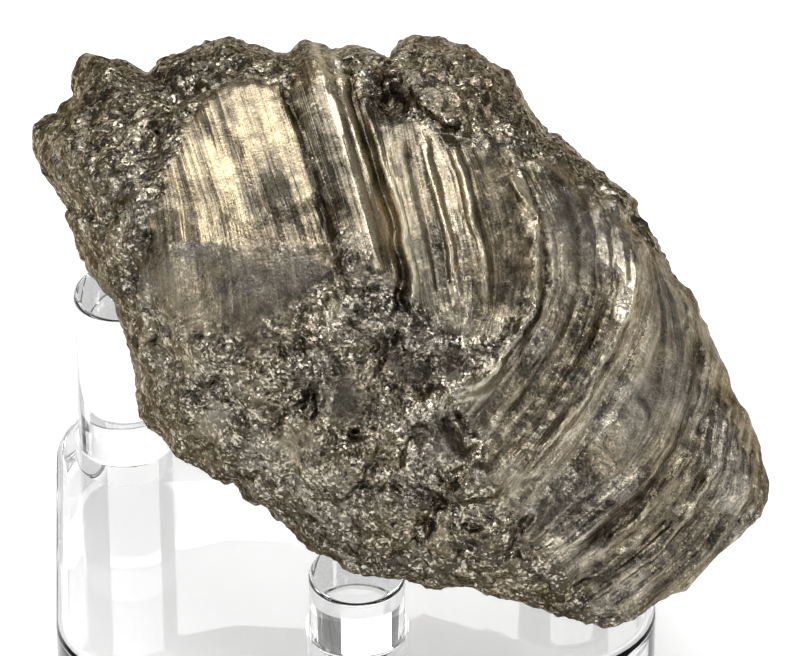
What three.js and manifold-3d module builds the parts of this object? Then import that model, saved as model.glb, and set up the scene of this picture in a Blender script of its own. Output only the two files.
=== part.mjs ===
// A graphite specimen resting on three pegs of a clear acrylic stand.
// Millimetres, +Z up. The origin is the centre of the stand's underside, +X runs along the
// stand's length and +Y to its back.

import * as THREE from "three";
import * as BufferGeometryUtils from "three/addons/utils/BufferGeometryUtils.js";
import Module from "manifold-3d";

const wasm = await Module();
wasm.setup();

// Stand

const BASE = { length: 50, depth: 37, height: 10, corner: 8, bevel: 1 };
const PEG = { radius: 4, chamfer: 0.4, inset: 6, sunk: 4 };
const TALL_RISE = 16;
const SHORT_RISE = 6;
const GAP = 0.3; // between a peg and its socket, and between a peg and the stone
const ROUND_STEPS = 8; // segments in a quarter of a round edge

const sidePegX = BASE.length / 2 - PEG.inset;
const pegY = BASE.depth / 2 - PEG.inset;
const PEGS = [
  { name: "peg_rear_left", x: -sidePegX, y: pegY, rise: TALL_RISE },
  { name: "peg_rear_right", x: sidePegX, y: pegY, rise: TALL_RISE },
  { name: "peg_front", x: 0, y: -pegY, rise: SHORT_RISE },
];

// Stone: u runs along its length, v up its face and w out of the face, from a point inside it.

const STONE = { x: 3.9, y: -4.8, z: 36, turn: 2.3, lean: 40 };
const TAPER = 535; // the stone narrows by one part in this for each mm towards its face
const GRID = 43; // cells along each side of the face

const OUTLINE = [
  [-23, 21.5], [-24.3, 21.6], [-25.4, 22.2], [-26, 21.8], [-26.8, 20.4], [-26.8, 18.9], [-28.2, 17.2],
  [-29.7, 16.2], [-30.1, 14.4], [-28.9, 12.1], [-27.5, 10.7], [-26.8, 9.4], [-27.2, 9], [-25.3, 4.4],
  [-23.5, 2.2], [-21.5, -4.1], [-21.6, -5.7], [-21.2, -7.4], [-18.4, -10.7], [-14.3, -12.9],
  [-13.6, -12.9], [-12.5, -14.2], [-11.4, -14.6], [-6.5, -18.8], [-2.5, -20.4], [0.7, -20.8],
  [2.9, -21.6], [4.5, -21.1], [6.2, -21.3], [7.2, -22.1], [9.8, -22.5], [15.4, -24.6], [16.9, -24.7],
  [19, -24.1], [22.1, -22], [23.3, -21.7], [28.9, -16], [29.9, -14.1], [30.1, -12.9], [29.3, -9],
  [28.3, -7.1], [27.3, -6], [26.8, -4.9], [26.8, -3.7], [23.9, 2.5], [22.2, 4.4], [21.3, 6.5],
  [19.5, 9.1], [19.2, 10.2], [13.8, 14.8], [12.8, 15.5], [11.9, 15.6], [9.7, 19.4], [8.1, 21.1],
  [5.3, 22.9], [2.8, 23.5], [1, 23.6], [0, 23.1], [-1, 21.9], [-2.2, 22.5], [-4.4, 22.8],
  [-5.9, 22.6], [-7.8, 23.4], [-9, 22.4], [-10.1, 22.3], [-13.2, 23.3], [-14.5, 23.4],
  [-16.9, 22.8], [-20, 21.4], [-20.9, 20.7],
];

// The face is cut by broken planes: each starts to fall at a distance along its direction.
const FACE_TOP = 8.5;
const FACE_ROUNDING = 1.5;
const FACE_PLANES = [
  { along: [0, 1], start: 6.5, fall: 0 },
  { along: [0, 1], start: 6.5, fall: 0.8 },
  { along: [1, 0], start: 9, fall: 0.45 },
  { along: [-0.59, -0.81], start: 11, fall: 0.9 },
  { along: [-1, 0.1], start: 18, fall: 0.9 },
  { along: [0.75, -0.66], start: 18, fall: 0.6 },
  { along: [-0.6, 0.8], start: 17, fall: 1.3 },
];

// The underside is one broken plane through the peg tops, with its ends cut away.
const UNDERSIDE_PLANES = [
  { along: [-1, 0], start: 17, fall: 0.5 },
  { along: [1, 0], start: 19, fall: 0.6 },
  { along: [0, 1], start: 13, fall: 0.6 },
];

// Long raised folds and bands of the face, and a few of the underside.
const FACE_RIDGES = [
  { path: [[-7.1, 21.3], [-5.7, 17.8], [-4.1, 13.7], [-2.3, 9.3], [-0.5, 5.4]], half: 2.7, height: 2.3 },
  { path: [[-3.5, 18.7], [-1.9, 15.3], [-0.3, 11.6], [1, 7.8], [2, 4.9]], half: 1.2, height: 0.9 },
  { path: [[0.2, 15.7], [1.6, 11.9], [2.8, 7.8], [3.6, 3.6]], half: 1, height: 0.6 },
  { path: [[4.6, 14.8], [6.2, 12.1], [7.2, 8.8], [7.6, 5.4], [7.4, 2.3]], half: 1, height: 0.7 },
  { path: [[-19.5, 20.8], [-17.1, 21.8], [-14.3, 22.3], [-11.4, 22], [-9.2, 21]], half: 1.4, height: 1.4 },
  { path: [[22.5, -8.3], [20.4, -11.6], [17.3, -15], [13.5, -17.9], [9.8, -19.7]], half: 1.1, height: 0.6 },
  { path: [[25.7, -11.6], [23.6, -15.2], [20.8, -18.2], [17.8, -20.5]], half: 1.2, height: 0.6 },
  { path: [[3.1, -6.7], [5, -5.5], [7.2, -4.1], [9, -2.6]], half: 1.2, height: 0.8 },
];
const UNDERSIDE_RIDGES = [
  { path: [[-16, -4], [-6, 0], [5, 1], [16, -4]], half: 2.5, height: 1 },
  { path: [[-12, 12], [-2, 9], [9, 10]], half: 2, height: 0.9 },
];

// Grooves and clefts between the folds.
const FACE_GROOVES = [
  { path: [[-3.9, 20.4], [-2.3, 16.6], [-0.7, 12.5], [0.6, 8.5], [1.5, 5.4]], half: 1.3, depth: 1.1 },
  { path: [[-9.4, 19.2], [-8.4, 16.8], [-7.4, 14.3], [-6.4, 11.6]], half: 1.3, depth: 1.1 },
  { path: [[6.7, 13.7], [8.6, 10.3], [9.4, 6.4], [8.7, 2.3], [7.2, -1.4]], half: 2.2, depth: 0.9 },
  { path: [[14, 11.9], [15.5, 7.8], [15.5, 3.1], [13.7, -2], [10.7, -6.5], [8, -9.8]], half: 2.6, depth: 1 },
  { path: [[-20.7, 20.5], [-19.2, 19.2], [-17.6, 18.1]], half: 1, depth: 1.5 },
  { path: [[2.8, -14.6], [2.3, -16.3], [1.3, -17.9]], half: 1, depth: 1.2 },
  { path: [[24.4, -0.2], [24.4, -2], [24.2, -3.3]], half: 1, depth: 1 },
];
const UNDERSIDE_GROOVES = [
  { path: [[-14, -8], [-4, -5], [6, -6], [20, -12]], half: 1.8, depth: 1.2 },
  { path: [[-8, 5], [3, 6], [12, 2]], half: 1.5, depth: 1 },
];

// Broken edges of layers: the ground left of each path stands higher and sinks back over a distance.
const FACE_LEDGES = [
  {
    path: [[-5.5, 9.2], [-6.5, 11.9], [-7.7, 14.7], [-9, 17.4], [-10.1, 19.5], [-12.2, 20], [-14.5, 19.4],
      [-16.3, 18.1], [-17.6, 16]],
    step: 1.3,
    fade: 6,
  },
  {
    path: [[5.4, -6.4], [7.2, -4.4], [9.1, -1.7], [10.8, 1], [11.7, 3.6], [11.7, 6.4], [10.9, 9.1],
      [9.5, 11.9], [8.1, 14.3]],
    step: 1.6,
    fade: 3.3,
  },
  {
    path: [[9.8, -13], [12.7, -9.5], [15.1, -6.3], [17.2, -2.8], [18.7, 0.2], [19.5, 3.6], [19.3, 6.7],
      [18.2, 9.4], [16.5, 11.7]],
    step: 1.3,
    fade: 4,
  },
  {
    path: [[13, -18.9], [16.3, -16.4], [19.5, -13.6], [22.1, -9.9], [23.6, -6.3], [24.2, -2.2],
      [23.5, 1.9], [21.6, 5.5], [20, 9.2]],
    step: 0.9,
    fade: 4,
  },
  {
    path: [[-4.5, 21.5], [-2.3, 21.3], [-0.3, 20.8], [1, 19.2], [1.6, 17.6], [3.3, 16.3], [5.7, 15.3]],
    step: 1.5,
    fade: 5,
  },
  { path: [[6.2, -20.4], [8.1, -20.3], [10.2, -20.7], [12.1, -21.3], [13.8, -22.1]], step: 1.3, fade: 3 },
];
const UNDERSIDE_LEDGES = [
  { path: [[-20, -2], [-9, 3], [2, 5], [13, 12]], step: 1.2, fade: 6 },
  { path: [[-6, -15], [4, -11], [15, -14], [24, -11]], step: 1, fade: 5 },
];

// Lumps that stand out and pits that sink in (a negative height).
const FACE_LUMPS = [
  { at: [-24.8, 14.9], radius: 4.8, height: 2.6 },
  { at: [-24.6, 19.9], radius: 2.4, height: 1 },
  { at: [4.2, 19.9], radius: 5, height: 2 },
  { at: [27.5, -11.6], radius: 4, height: 1.2 },
  { at: [19.5, -21.3], radius: 4, height: 1 },
  { at: [-17.8, -7.9], radius: 3.3, height: 0.9 },
  { at: [-12.2, -10.3], radius: 3.6, height: 1 },
  { at: [-15.9, -2], radius: 2.9, height: 0.9 },
  { at: [-5.7, -11.6], radius: 3.4, height: 1 },
  { at: [-1.2, -15.6], radius: 3.2, height: 1 },
  { at: [2.4, -10.7], radius: 2.8, height: 1 },
  { at: [-3.9, -1.8], radius: 3, height: 0.8 },
  { at: [5.7, -12.4], radius: 2.8, height: 0.8 },
  { at: [4.5, -18.9], radius: 2.6, height: 0.8 },
  { at: [-1, 17.8], radius: 2.2, height: -1.4 },
  { at: [2, -4.4], radius: 2.2, height: -0.9 },
  { at: [-7.7, -8], radius: 2, height: -1 },
  { at: [-20.8, 5.4], radius: 2, height: -1.2 },
];
// The underside's high spots rest on the pegs.
const UNDERSIDE_LUMPS = [
  { at: [-20.5, 3], radius: 6.5, height: 2.6 },
  { at: [14.4, 3.6], radius: 6.5, height: 1.6 },
  { at: [-3.6, -17.2], radius: 6, height: 2.4 },
  { at: [-2, 12], radius: 6, height: 1.5 },
  { at: [20, -14], radius: 6, height: 1.2 },
  { at: [-24, 15], radius: 5, height: 1.2 },
];

// The rim is a wavy band: its level leans back up the face and lifts to the right.
const RIM = { level: -13.5, slope: -0.42, rightLift: 2.5, half: 1.4, inset: 0.965, wave: 0.9 };
const REST_MARGIN = 2; // how far the stone's worn flat reaches past each peg
const RING_CROWDING = 1.2; // 1 would space the rings of cells evenly
const CALM_ANGLE = 0.3; // radians of outline averaged for the stone's inner rings

// How squarely each side turns into the rim: a high power keeps it level until close to the rim.
const FACE_SHOULDER = { power: 9, root: 0.55 };
const UNDERSIDE_SHOULDER = { power: 8, root: 0.5 };

const END_FADE = 0.15; // share of a path's length over which it rises from the ground
const LEDGE_EDGE = 0.9; // half the width of a ledge's broken edge

const GRAPHITE = new THREE.MeshStandardMaterial({ color: 0x5a5348, metalness: 0.7, roughness: 0.45 });
const CLEAR_ACRYLIC = new THREE.MeshStandardMaterial({
  color: 0xf4f6f6,
  roughness: 0.08,
  transparent: true,
  opacity: 0.35,
});

const WELD = 1e-4; // vertices closer than this are one

const group = new THREE.Group();

function add(name, geometry, material) {
  const mesh = new THREE.Mesh(geometry, material.clone());
  mesh.name = name;
  group.add(mesh);
}

// manifold-3d works on bare welded positions.
function toManifold(geometry) {
  const bare = new THREE.BufferGeometry();
  bare.setAttribute("position", geometry.getAttribute("position"));
  if (geometry.index) {
    bare.setIndex(geometry.index);
  }
  const welded = BufferGeometryUtils.mergeVertices(bare, WELD);
  const solid = new wasm.Mesh({
    numProp: 3,
    vertProperties: new Float32Array(welded.getAttribute("position").array),
    triVerts: new Uint32Array(welded.index.array),
  });
  return new wasm.Manifold(solid);
}

function fromManifold(manifold) {
  const mesh = manifold.getMesh();
  const geometry = new THREE.BufferGeometry();
  geometry.setAttribute("position", new THREE.BufferAttribute(mesh.vertProperties, 3));
  geometry.setIndex(new THREE.BufferAttribute(mesh.triVerts, 1));
  geometry.computeVertexNormals();
  return geometry;
}

// A rod cut to length with its two end edges chamfered.
function rod(radius, length, chamfer) {
  const circle = new THREE.Shape().absarc(0, 0, radius, 0, 2 * Math.PI);
  const geometry = new THREE.ExtrudeGeometry(circle, {
    depth: length - 2 * chamfer,
    bevelThickness: chamfer,
    bevelSize: chamfer,
    bevelOffset: -chamfer,
    bevelSegments: 1,
    curveSegments: 2 * ROUND_STEPS,
  });
  geometry.translate(0, 0, chamfer);
  return geometry;
}

// Stand base: a polished block with rounded corners and a blind socket for each peg.
function block() {
  const x = BASE.length / 2;
  const y = BASE.depth / 2;
  const r = BASE.corner;
  const plan = new THREE.Shape();
  plan.absarc(x - r, y - r, r, 0, Math.PI / 2);
  plan.absarc(r - x, y - r, r, Math.PI / 2, Math.PI);
  plan.absarc(r - x, r - y, r, Math.PI, 1.5 * Math.PI);
  plan.absarc(x - r, r - y, r, 1.5 * Math.PI, 2 * Math.PI);
  const geometry = new THREE.ExtrudeGeometry(plan, {
    depth: BASE.height - 2 * BASE.bevel,
    bevelThickness: BASE.bevel,
    bevelSize: BASE.bevel,
    bevelOffset: -BASE.bevel,
    bevelSegments: 2,
    curveSegments: ROUND_STEPS / 2,
  });
  geometry.translate(0, 0, BASE.bevel);
  return geometry;
}

const socketFloor = BASE.height - PEG.sunk - GAP;
let base = toManifold(block());
for (const { x, y } of PEGS) {
  const clearance = BASE.height; // the cutter reaches this far above the socket's floor
  const cutter = new THREE.CylinderGeometry(PEG.radius + GAP, PEG.radius + GAP, clearance, 4 * ROUND_STEPS);
  cutter.rotateX(Math.PI / 2);
  cutter.translate(x, y, socketFloor + clearance / 2);
  base = base.subtract(toManifold(cutter));
}
add("stand_base", fromManifold(base), CLEAR_ACRYLIC);

for (const { name, x, y, rise } of PEGS) {
  const peg = rod(PEG.radius, PEG.sunk + rise, PEG.chamfer);
  peg.translate(x, y, BASE.height - PEG.sunk);
  add(name, peg, CLEAR_ACRYLIC);
}

// Graphite

function smoothStep(low, high, x) {
  return THREE.MathUtils.smoothstep(x, low, high);
}

function softMin(values, rounding) {
  let sum = 0;
  for (const value of values) {
    sum += Math.exp(-value / rounding);
  }
  return -rounding * Math.log(sum);
}

function cross(a, b) {
  return a[0] * b[1] - a[1] * b[0];
}

// How far the outline lies from the middle in the direction of an angle.
function outlineReach(angle) {
  const ray = [Math.cos(angle), Math.sin(angle)];
  for (let i = 0; i < OUTLINE.length; i += 1) {
    const a = OUTLINE[i];
    const b = OUTLINE[(i + 1) % OUTLINE.length];
    if (cross(a, ray) >= 0 && cross(ray, b) > 0) {
      return cross(a, b) / cross(ray, [b[0] - a[0], b[1] - a[1]]);
    }
  }
  throw new Error("the outline must run counter-clockwise around the middle");
}

// Where a point lies beside a path: its distance, its side (left is positive) and a factor that
// fades to zero at both ends of the path.
function beside(path, u, v) {
  const lengths = [];
  for (let i = 1; i < path.length; i += 1) {
    lengths.push(Math.hypot(path[i][0] - path[i - 1][0], path[i][1] - path[i - 1][1]));
  }
  const total = lengths.reduce((sum, length) => sum + length, 0);
  const nearest = { distance: Infinity, side: 0, presence: 0 };
  let walked = 0;
  for (let i = 1; i < path.length; i += 1) {
    const length = lengths[i - 1];
    const run = [path[i][0] - path[i - 1][0], path[i][1] - path[i - 1][1]];
    const to = [u - path[i - 1][0], v - path[i - 1][1]];
    const t = THREE.MathUtils.clamp((to[0] * run[0] + to[1] * run[1]) / (length * length), 0, 1);
    const distance = Math.hypot(to[0] - t * run[0], to[1] - t * run[1]);
    if (distance < nearest.distance) {
      const place = (walked + t * length) / total;
      nearest.distance = distance;
      nearest.side = Math.sign(cross(run, to));
      nearest.presence = smoothStep(0, END_FADE, place) * smoothStep(0, END_FADE, 1 - place);
    }
    walked += length;
  }
  return nearest;
}

function ridgeHeight({ path, half, height }, u, v) {
  const { distance, presence } = beside(path, u, v);
  const across = distance / half;
  return across < 1 ? height * presence * (1 - across * across) ** 1.5 : 0;
}

function ledgeHeight({ path, step, fade }, u, v) {
  const { distance, side, presence } = beside(path, u, v);
  const inwards = distance * side;
  const sinking = Math.exp(-Math.max(inwards, 0) / fade);
  return step * presence * sinking * smoothStep(-LEDGE_EDGE, LEDGE_EDGE, inwards);
}

function lumpHeight({ at, radius, height }, u, v) {
  const across = Math.hypot(u - at[0], v - at[1]) / radius;
  return across < 1 ? height * (1 - across * across) : 0;
}

function planeFall({ along, start, fall }, u, v) {
  return fall * (along[0] * u + along[1] * v - start);
}

function relief(ridges, grooves, ledges, lumps, u, v) {
  let height = 0;
  for (const ridge of ridges) {
    height += ridgeHeight(ridge, u, v);
  }
  for (const { path, half, depth } of grooves) {
    height -= ridgeHeight({ path, half, height: depth }, u, v);
  }
  for (const ledge of ledges) {
    height += ledgeHeight(ledge, u, v);
  }
  for (const lump of lumps) {
    height += lumpHeight(lump, u, v);
  }
  return height;
}

function faceDepth(u, v) {
  const planes = FACE_PLANES.map((plane) => FACE_TOP - planeFall(plane, u, v));
  return softMin(planes, FACE_ROUNDING);
}

// The stone's u, v and w as directions in the part's frame.
const turn = THREE.MathUtils.degToRad(STONE.turn);
const lean = THREE.MathUtils.degToRad(STONE.lean);
const right = new THREE.Vector3(Math.cos(turn), -Math.sin(turn), 0);
const up = new THREE.Vector3(Math.sin(turn), Math.cos(turn), 0);
up.multiplyScalar(Math.sin(lean)).setZ(Math.cos(lean));
const outwards = new THREE.Vector3().crossVectors(right, up);
const placing = new THREE.Matrix4().makeBasis(right, up, outwards);
placing.setPosition(STONE.x, STONE.y, STONE.z);
const unplacing = placing.clone().invert();

// The plane through the three peg tops gives the underside's depth at any (u, v).
const pegTops = PEGS.map(({ x, y, rise }) => {
  const top = new THREE.Vector3(x, y, BASE.height + rise);
  return top.applyMatrix4(unplacing);
});
const restPlane = new THREE.Plane().setFromCoplanarPoints(...pegTops);

function undersideDepth(u, v) {
  const { normal, constant } = restPlane;
  const level = -(normal.x * u + normal.y * v + constant) / normal.z;
  const cuts = UNDERSIDE_PLANES.map((plane) => -level - planeFall(plane, u, v));
  return -softMin([-level, ...cuts], FACE_ROUNDING);
}

function rimDepth(u, v) {
  const angle = Math.atan2(v, u);
  const wave = RIM.wave * (Math.sin(3 * angle + 1) + Math.sin(7 * angle) / 2);
  return RIM.level + RIM.slope * v + RIM.rightLift * smoothStep(4, 16, u) + wave;
}

// The outline's own reach at the rim, and a calmer one nearer the middle.
function ringReach(angle, r) {
  const turns = [-1, -0.5, 0, 0.5, 1].map((share) => angle + share * CALM_ANGLE);
  const calm = turns.reduce((sum, a) => sum + outlineReach(a), 0) / turns.length;
  return THREE.MathUtils.lerp(calm, outlineReach(angle), r ** 4);
}

function shoulder(r, { power, root }) {
  return (1 - r ** power) ** root;
}

// A point of the stone at an angle around its middle and a share r of the way out to its rim.
// side is 1 on the face, 0 on the rim's outermost line and -1 on the underside.
function stonePoint(angle, r, side) {
  const reach = r * ringReach(angle, r) * (side === 0 ? 1 : RIM.inset);
  const u = Math.cos(angle) * reach;
  const v = Math.sin(angle) * reach;
  const inner = 1 - smoothStep(0.9, 1, r);
  let w = rimDepth(u, v);
  if (side > 0) {
    const raised = relief(FACE_RIDGES, FACE_GROOVES, FACE_LEDGES, FACE_LUMPS, u, v);
    w += RIM.half;
    w += (faceDepth(u, v) - w) * shoulder(r, FACE_SHOULDER) + raised * inner;
  } else if (side < 0) {
    const raised = relief(UNDERSIDE_RIDGES, UNDERSIDE_GROOVES, UNDERSIDE_LEDGES, UNDERSIDE_LUMPS, u, v);
    w -= RIM.half;
    w -= Math.max(w - undersideDepth(u, v), 0) * shoulder(r, UNDERSIDE_SHOULDER) + raised * inner;
  }
  const spread = 1 - w / TAPER;
  return new THREE.Vector3(u * spread, v * spread, w).applyMatrix4(placing);
}

// Worn flats where the stone sits on its pegs.
function clearPegs(point) {
  const flat = PEG.radius + REST_MARGIN;
  for (const { x, y, rise } of PEGS) {
    if (Math.hypot(point.x - x, point.y - y) < flat) {
      point.z = Math.max(point.z, BASE.height + rise + GAP);
    }
  }
}

// A cube's skin becomes the stone's: its square rings turn into round ones, closer together
// near the rim, where the face falls away.
const stone = new THREE.BoxGeometry(2, 2, 2, GRID, GRID, 2);
const skin = stone.getAttribute("position");
for (let i = 0; i < skin.count; i += 1) {
  const x = skin.getX(i);
  const y = skin.getY(i);
  const ring = Math.max(Math.abs(x), Math.abs(y));
  const r = 1 - (1 - ring) ** RING_CROWDING;
  let angle = (Math.PI / 4) * (y / (x || 1)) + (x < 0 ? Math.PI : 0);
  if (Math.abs(y) > Math.abs(x)) {
    angle = Math.PI / 2 - (Math.PI / 4) * (x / y) + (y < 0 ? Math.PI : 0);
  }
  const point = stonePoint(angle, r, skin.getZ(i));
  clearPegs(point);
  skin.setXYZ(i, point.x, point.y, point.z);
}
stone.computeVertexNormals();
add("graphite", stone, GRAPHITE);

export default group;
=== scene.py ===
# %% [markdown]
# A graphite specimen leans on three clear pegs in a clear block. The construction comes as a fixed
# frame: one solid for the stone, one for the block and one for each peg. This lesson gives them
# their finish. Nothing in the frame is moved or resized, so every size below is read from it or
# stated in millimetres beside it.

# %% Load the frame
import math

import bpy
import numpy as np
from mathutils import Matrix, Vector


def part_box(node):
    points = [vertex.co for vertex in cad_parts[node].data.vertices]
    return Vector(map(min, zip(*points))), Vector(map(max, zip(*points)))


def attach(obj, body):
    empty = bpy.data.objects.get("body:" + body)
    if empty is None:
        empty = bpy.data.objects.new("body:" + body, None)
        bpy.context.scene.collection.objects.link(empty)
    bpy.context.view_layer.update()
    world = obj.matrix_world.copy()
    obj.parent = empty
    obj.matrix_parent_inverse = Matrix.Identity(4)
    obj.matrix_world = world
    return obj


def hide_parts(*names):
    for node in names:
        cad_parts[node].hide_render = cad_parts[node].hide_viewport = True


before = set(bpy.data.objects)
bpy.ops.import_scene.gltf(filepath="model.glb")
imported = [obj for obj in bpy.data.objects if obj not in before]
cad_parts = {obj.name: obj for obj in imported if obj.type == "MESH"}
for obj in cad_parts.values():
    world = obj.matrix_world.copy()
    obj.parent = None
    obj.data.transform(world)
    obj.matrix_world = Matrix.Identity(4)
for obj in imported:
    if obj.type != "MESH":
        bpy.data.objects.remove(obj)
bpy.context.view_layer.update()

MM = 0.001

# %% [markdown]
# The photograph looks down on the stand at 40 degrees, almost square to its front, from far enough
# away that upright edges barely converge. The specimen could be turned towards a fixed camera, but
# it has to stay in its frame, so a long lens is set 575 mm away from it instead. The aim point lies
# where the middle of the picture meets the specimen.

# %% Camera
CAMERA_RISE = math.radians(40)
CAMERA_TURN = math.radians(2.3)
CAMERA_DISTANCE = 575 * MM
CAMERA_LENS = 295.7
NEAREST = 50 * MM # nothing comes closer to the camera than this
AIM = Vector((5.1, 25.8, 10)) * MM

sight = Vector((
    math.sin(CAMERA_TURN) * math.cos(CAMERA_RISE),
    math.cos(CAMERA_TURN) * math.cos(CAMERA_RISE),
    -math.sin(CAMERA_RISE),
))
camera_data = bpy.data.cameras.new("camera")
camera_data.lens = CAMERA_LENS
camera_data.clip_start = NEAREST
camera = bpy.data.objects.new("camera", camera_data)
bpy.context.scene.collection.objects.link(camera)
camera.location = AIM - sight * CAMERA_DISTANCE
camera.rotation_euler = sight.to_track_quat("-Z", "Y").to_euler()
bpy.context.scene.camera = camera
print("camera at", [round(x / MM) for x in camera.location], "mm")

# %% [markdown]
# The ground in the photograph is plain white and brighter than a sheet of card in the same light. A
# backdrop could curve up behind, but the camera looks down, so one large plane fills the picture. It
# glows a little, like a lit table. It is only part of the stage, never of the object.

# %% Floor
FLOOR_SIZE = 6
FLOOR_GAP = 0.1 * MM # a film of air keeps the block's polished underside clear of the ground
FLOOR_WHITE = (0.82, 0.82, 0.825, 1)
FLOOR_GLOW = 0.47


def deselect_all():
    """Leave edit mode and select nothing."""
    if bpy.context.object and bpy.context.object.mode != "OBJECT":
        bpy.ops.object.mode_set(mode="OBJECT")
    bpy.ops.object.select_all(action="DESELECT")


def new_material(name):
    """A material with one plain shader, ready for its values."""
    material = bpy.data.materials.new(name)
    material.use_nodes = True
    tree = material.node_tree
    tree.nodes.clear()
    shader = tree.nodes.new("ShaderNodeBsdfPrincipled")
    output = tree.nodes.new("ShaderNodeOutputMaterial")
    tree.links.new(shader.outputs["BSDF"], output.inputs["Surface"])
    return material, tree, shader


deselect_all()
bpy.ops.mesh.primitive_plane_add(size=FLOOR_SIZE, location=(0, 0, -FLOOR_GAP))
floor = bpy.context.object
floor.name = "floor"
white, _, white_shader = new_material("white_ground")
white_shader.inputs["Base Color"].default_value = FLOOR_WHITE
white_shader.inputs["Roughness"].default_value = 0.6
white_shader.inputs["Specular IOR Level"].default_value = 0.2
white_shader.inputs["Emission Color"].default_value = (1, 1, 1, 1)
white_shader.inputs["Emission Strength"].default_value = FLOOR_GLOW
floor.data.materials.append(white)
print("floor:", FLOOR_SIZE, "m wide")

# %% [markdown]
# A lustrous stone shows what surrounds it. In the photograph the parts that face up and back are
# bright and those that face the viewer are dark. One wide soft panel behind and one overhead give
# that, with two weak ones at the left and right for the sides. A room picture could do the same, but
# panels can be moved one by one. The room itself stays dim.

# %% Light
ROOM_COLOUR = (1.0, 0.99, 0.975, 1)
ROOM_STRENGTH = 0.23


def panel(name, place, aim, width, depth, watts):
    """A soft rectangular light, placed, aimed and sized in millimetres."""
    data = bpy.data.lights.new(name, "AREA")
    data.shape = "RECTANGLE"
    data.size = width * MM
    data.size_y = depth * MM
    data.energy = watts
    light = bpy.data.objects.new(name, data)
    bpy.context.scene.collection.objects.link(light)
    light.location = Vector(place) * MM
    light.rotation_euler = (Vector(aim) * MM - light.location).to_track_quat("-Z", "Y").to_euler()


panel("back_panel", place=(-120, 620, 560), aim=(0, 0, 30), width=700, depth=400, watts=3.8)
panel("top_panel", place=(60, 60, 900), aim=(0, 0, 20), width=480, depth=360, watts=3.4)
panel("left_panel", place=(-700, -250, 420), aim=(0, 0, 30), width=240, depth=320, watts=2.0)
panel("right_panel", place=(620, -420, 480), aim=(0, 0, 30), width=200, depth=320, watts=1.4)

world = bpy.data.worlds.new("room")
world.use_nodes = True
room = world.node_tree.nodes["Background"]
room.inputs["Color"].default_value = ROOM_COLOUR
room.inputs["Strength"].default_value = ROOM_STRENGTH
bpy.context.scene.world = world
bpy.context.scene.view_settings.view_transform = "Standard"

# %% [markdown]
# The stand is clear acrylic, colourless and polished, so that it shows only through its bright and
# grey edges. A see-through colour would look like fog, so the pieces stay solid and the shader
# transmits, with acrylic's own index of 1.49 and a polish that is almost perfect.

# %% Clear acrylic
ACRYLIC_INDEX = 1.49
ACRYLIC_ROUGHNESS = 0.02
ACRYLIC_WHITE = (0.995, 0.998, 0.998, 1)

acrylic, _, acrylic_shader = new_material("clear_acrylic")
acrylic_shader.inputs["Base Color"].default_value = ACRYLIC_WHITE
acrylic_shader.inputs["Transmission Weight"].default_value = 1.0
acrylic_shader.inputs["IOR"].default_value = ACRYLIC_INDEX
acrylic_shader.inputs["Roughness"].default_value = ACRYLIC_ROUGHNESS
print("clear acrylic: index", ACRYLIC_INDEX)

# %% [markdown]
# The block and the pegs are treated alike: some edges are picked and eased, the piece is polished,
# and it takes its frame node's place. Edges are picked in code by where their ends lie. Smooth
# shading alone would make the large flat faces look wavy, so their normals are weighted by area.

# %% Helpers for shaping and finishing a piece
POLISH_ANGLE = math.radians(40)


def finish_piece(piece, node, material):
    """Name a finished piece after its frame node, give it its finish and hang it on the frame."""
    piece.name = node + "_finished"
    piece.data.name = piece.name
    piece.data.materials.clear()
    piece.data.materials.append(material)
    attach(piece, "root")
    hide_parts(node)
    print(piece.name, len(piece.data.polygons), "faces")


def pick_edges(piece, wanted):
    """Select the edges that a test on their two end points accepts, and go to edit mode."""
    mesh = piece.data
    bpy.ops.object.mode_set(mode="EDIT")
    bpy.ops.mesh.select_mode(type="EDGE")
    bpy.ops.mesh.select_all(action="DESELECT")
    bpy.ops.object.mode_set(mode="OBJECT")
    for edge in mesh.edges:
        a, b = (mesh.vertices[i].co for i in edge.vertices)
        edge.select = wanted(a, b)
    bpy.ops.object.mode_set(mode="EDIT")


def polish(piece):
    """Smooth the eased edges and keep the large faces dead flat."""
    deselect_all()
    bpy.context.view_layer.objects.active = piece
    piece.select_set(True)
    bpy.ops.object.shade_smooth_by_angle(angle=POLISH_ANGLE)
    flat = piece.modifiers.new("flat", "WEIGHTED_NORMAL")
    flat.keep_sharp = True
    flat.weight = 100
    bpy.ops.object.modifier_apply(modifier=flat.name)

# %% [markdown]
# The block is sawn and polished sheet: its corners are rounded to 8 mm and its upper and lower
# edges eased by about a millimetre. A cube at the node's own size is bevelled twice, first its four
# upright edges and then its two outlines. Bevelling in that order keeps the eased edge an even width.

# %% Block
CORNER = 8 * MM
CORNER_STEPS = 12
EASED = 1 * MM
EASED_STEPS = 4
HAIR = 0.01 * MM # closer than this counts as the same place

low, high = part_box("stand_base")
deselect_all()
bpy.ops.mesh.primitive_cube_add(size=1, location=(low + high) / 2, scale=high - low)
block = bpy.context.object
bpy.ops.object.transform_apply(location=True, rotation=True, scale=True)
pick_edges(block, lambda a, b: abs(a.z - b.z) > HAIR)
bpy.ops.mesh.bevel(offset=CORNER, segments=CORNER_STEPS, affect="EDGES")
bpy.ops.object.mode_set(mode="OBJECT")
for level in (low.z, high.z):
    pick_edges(block, lambda a, b: abs(a.z - level) < HAIR and abs(b.z - level) < HAIR)
    bpy.ops.mesh.bevel(offset=EASED, segments=EASED_STEPS, affect="EDGES")
    bpy.ops.mesh.select_all(action="SELECT")
    bpy.ops.mesh.normals_make_consistent(inside=False)
    bpy.ops.object.mode_set(mode="OBJECT")
print("block:", len(block.data.polygons), "faces")

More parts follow.
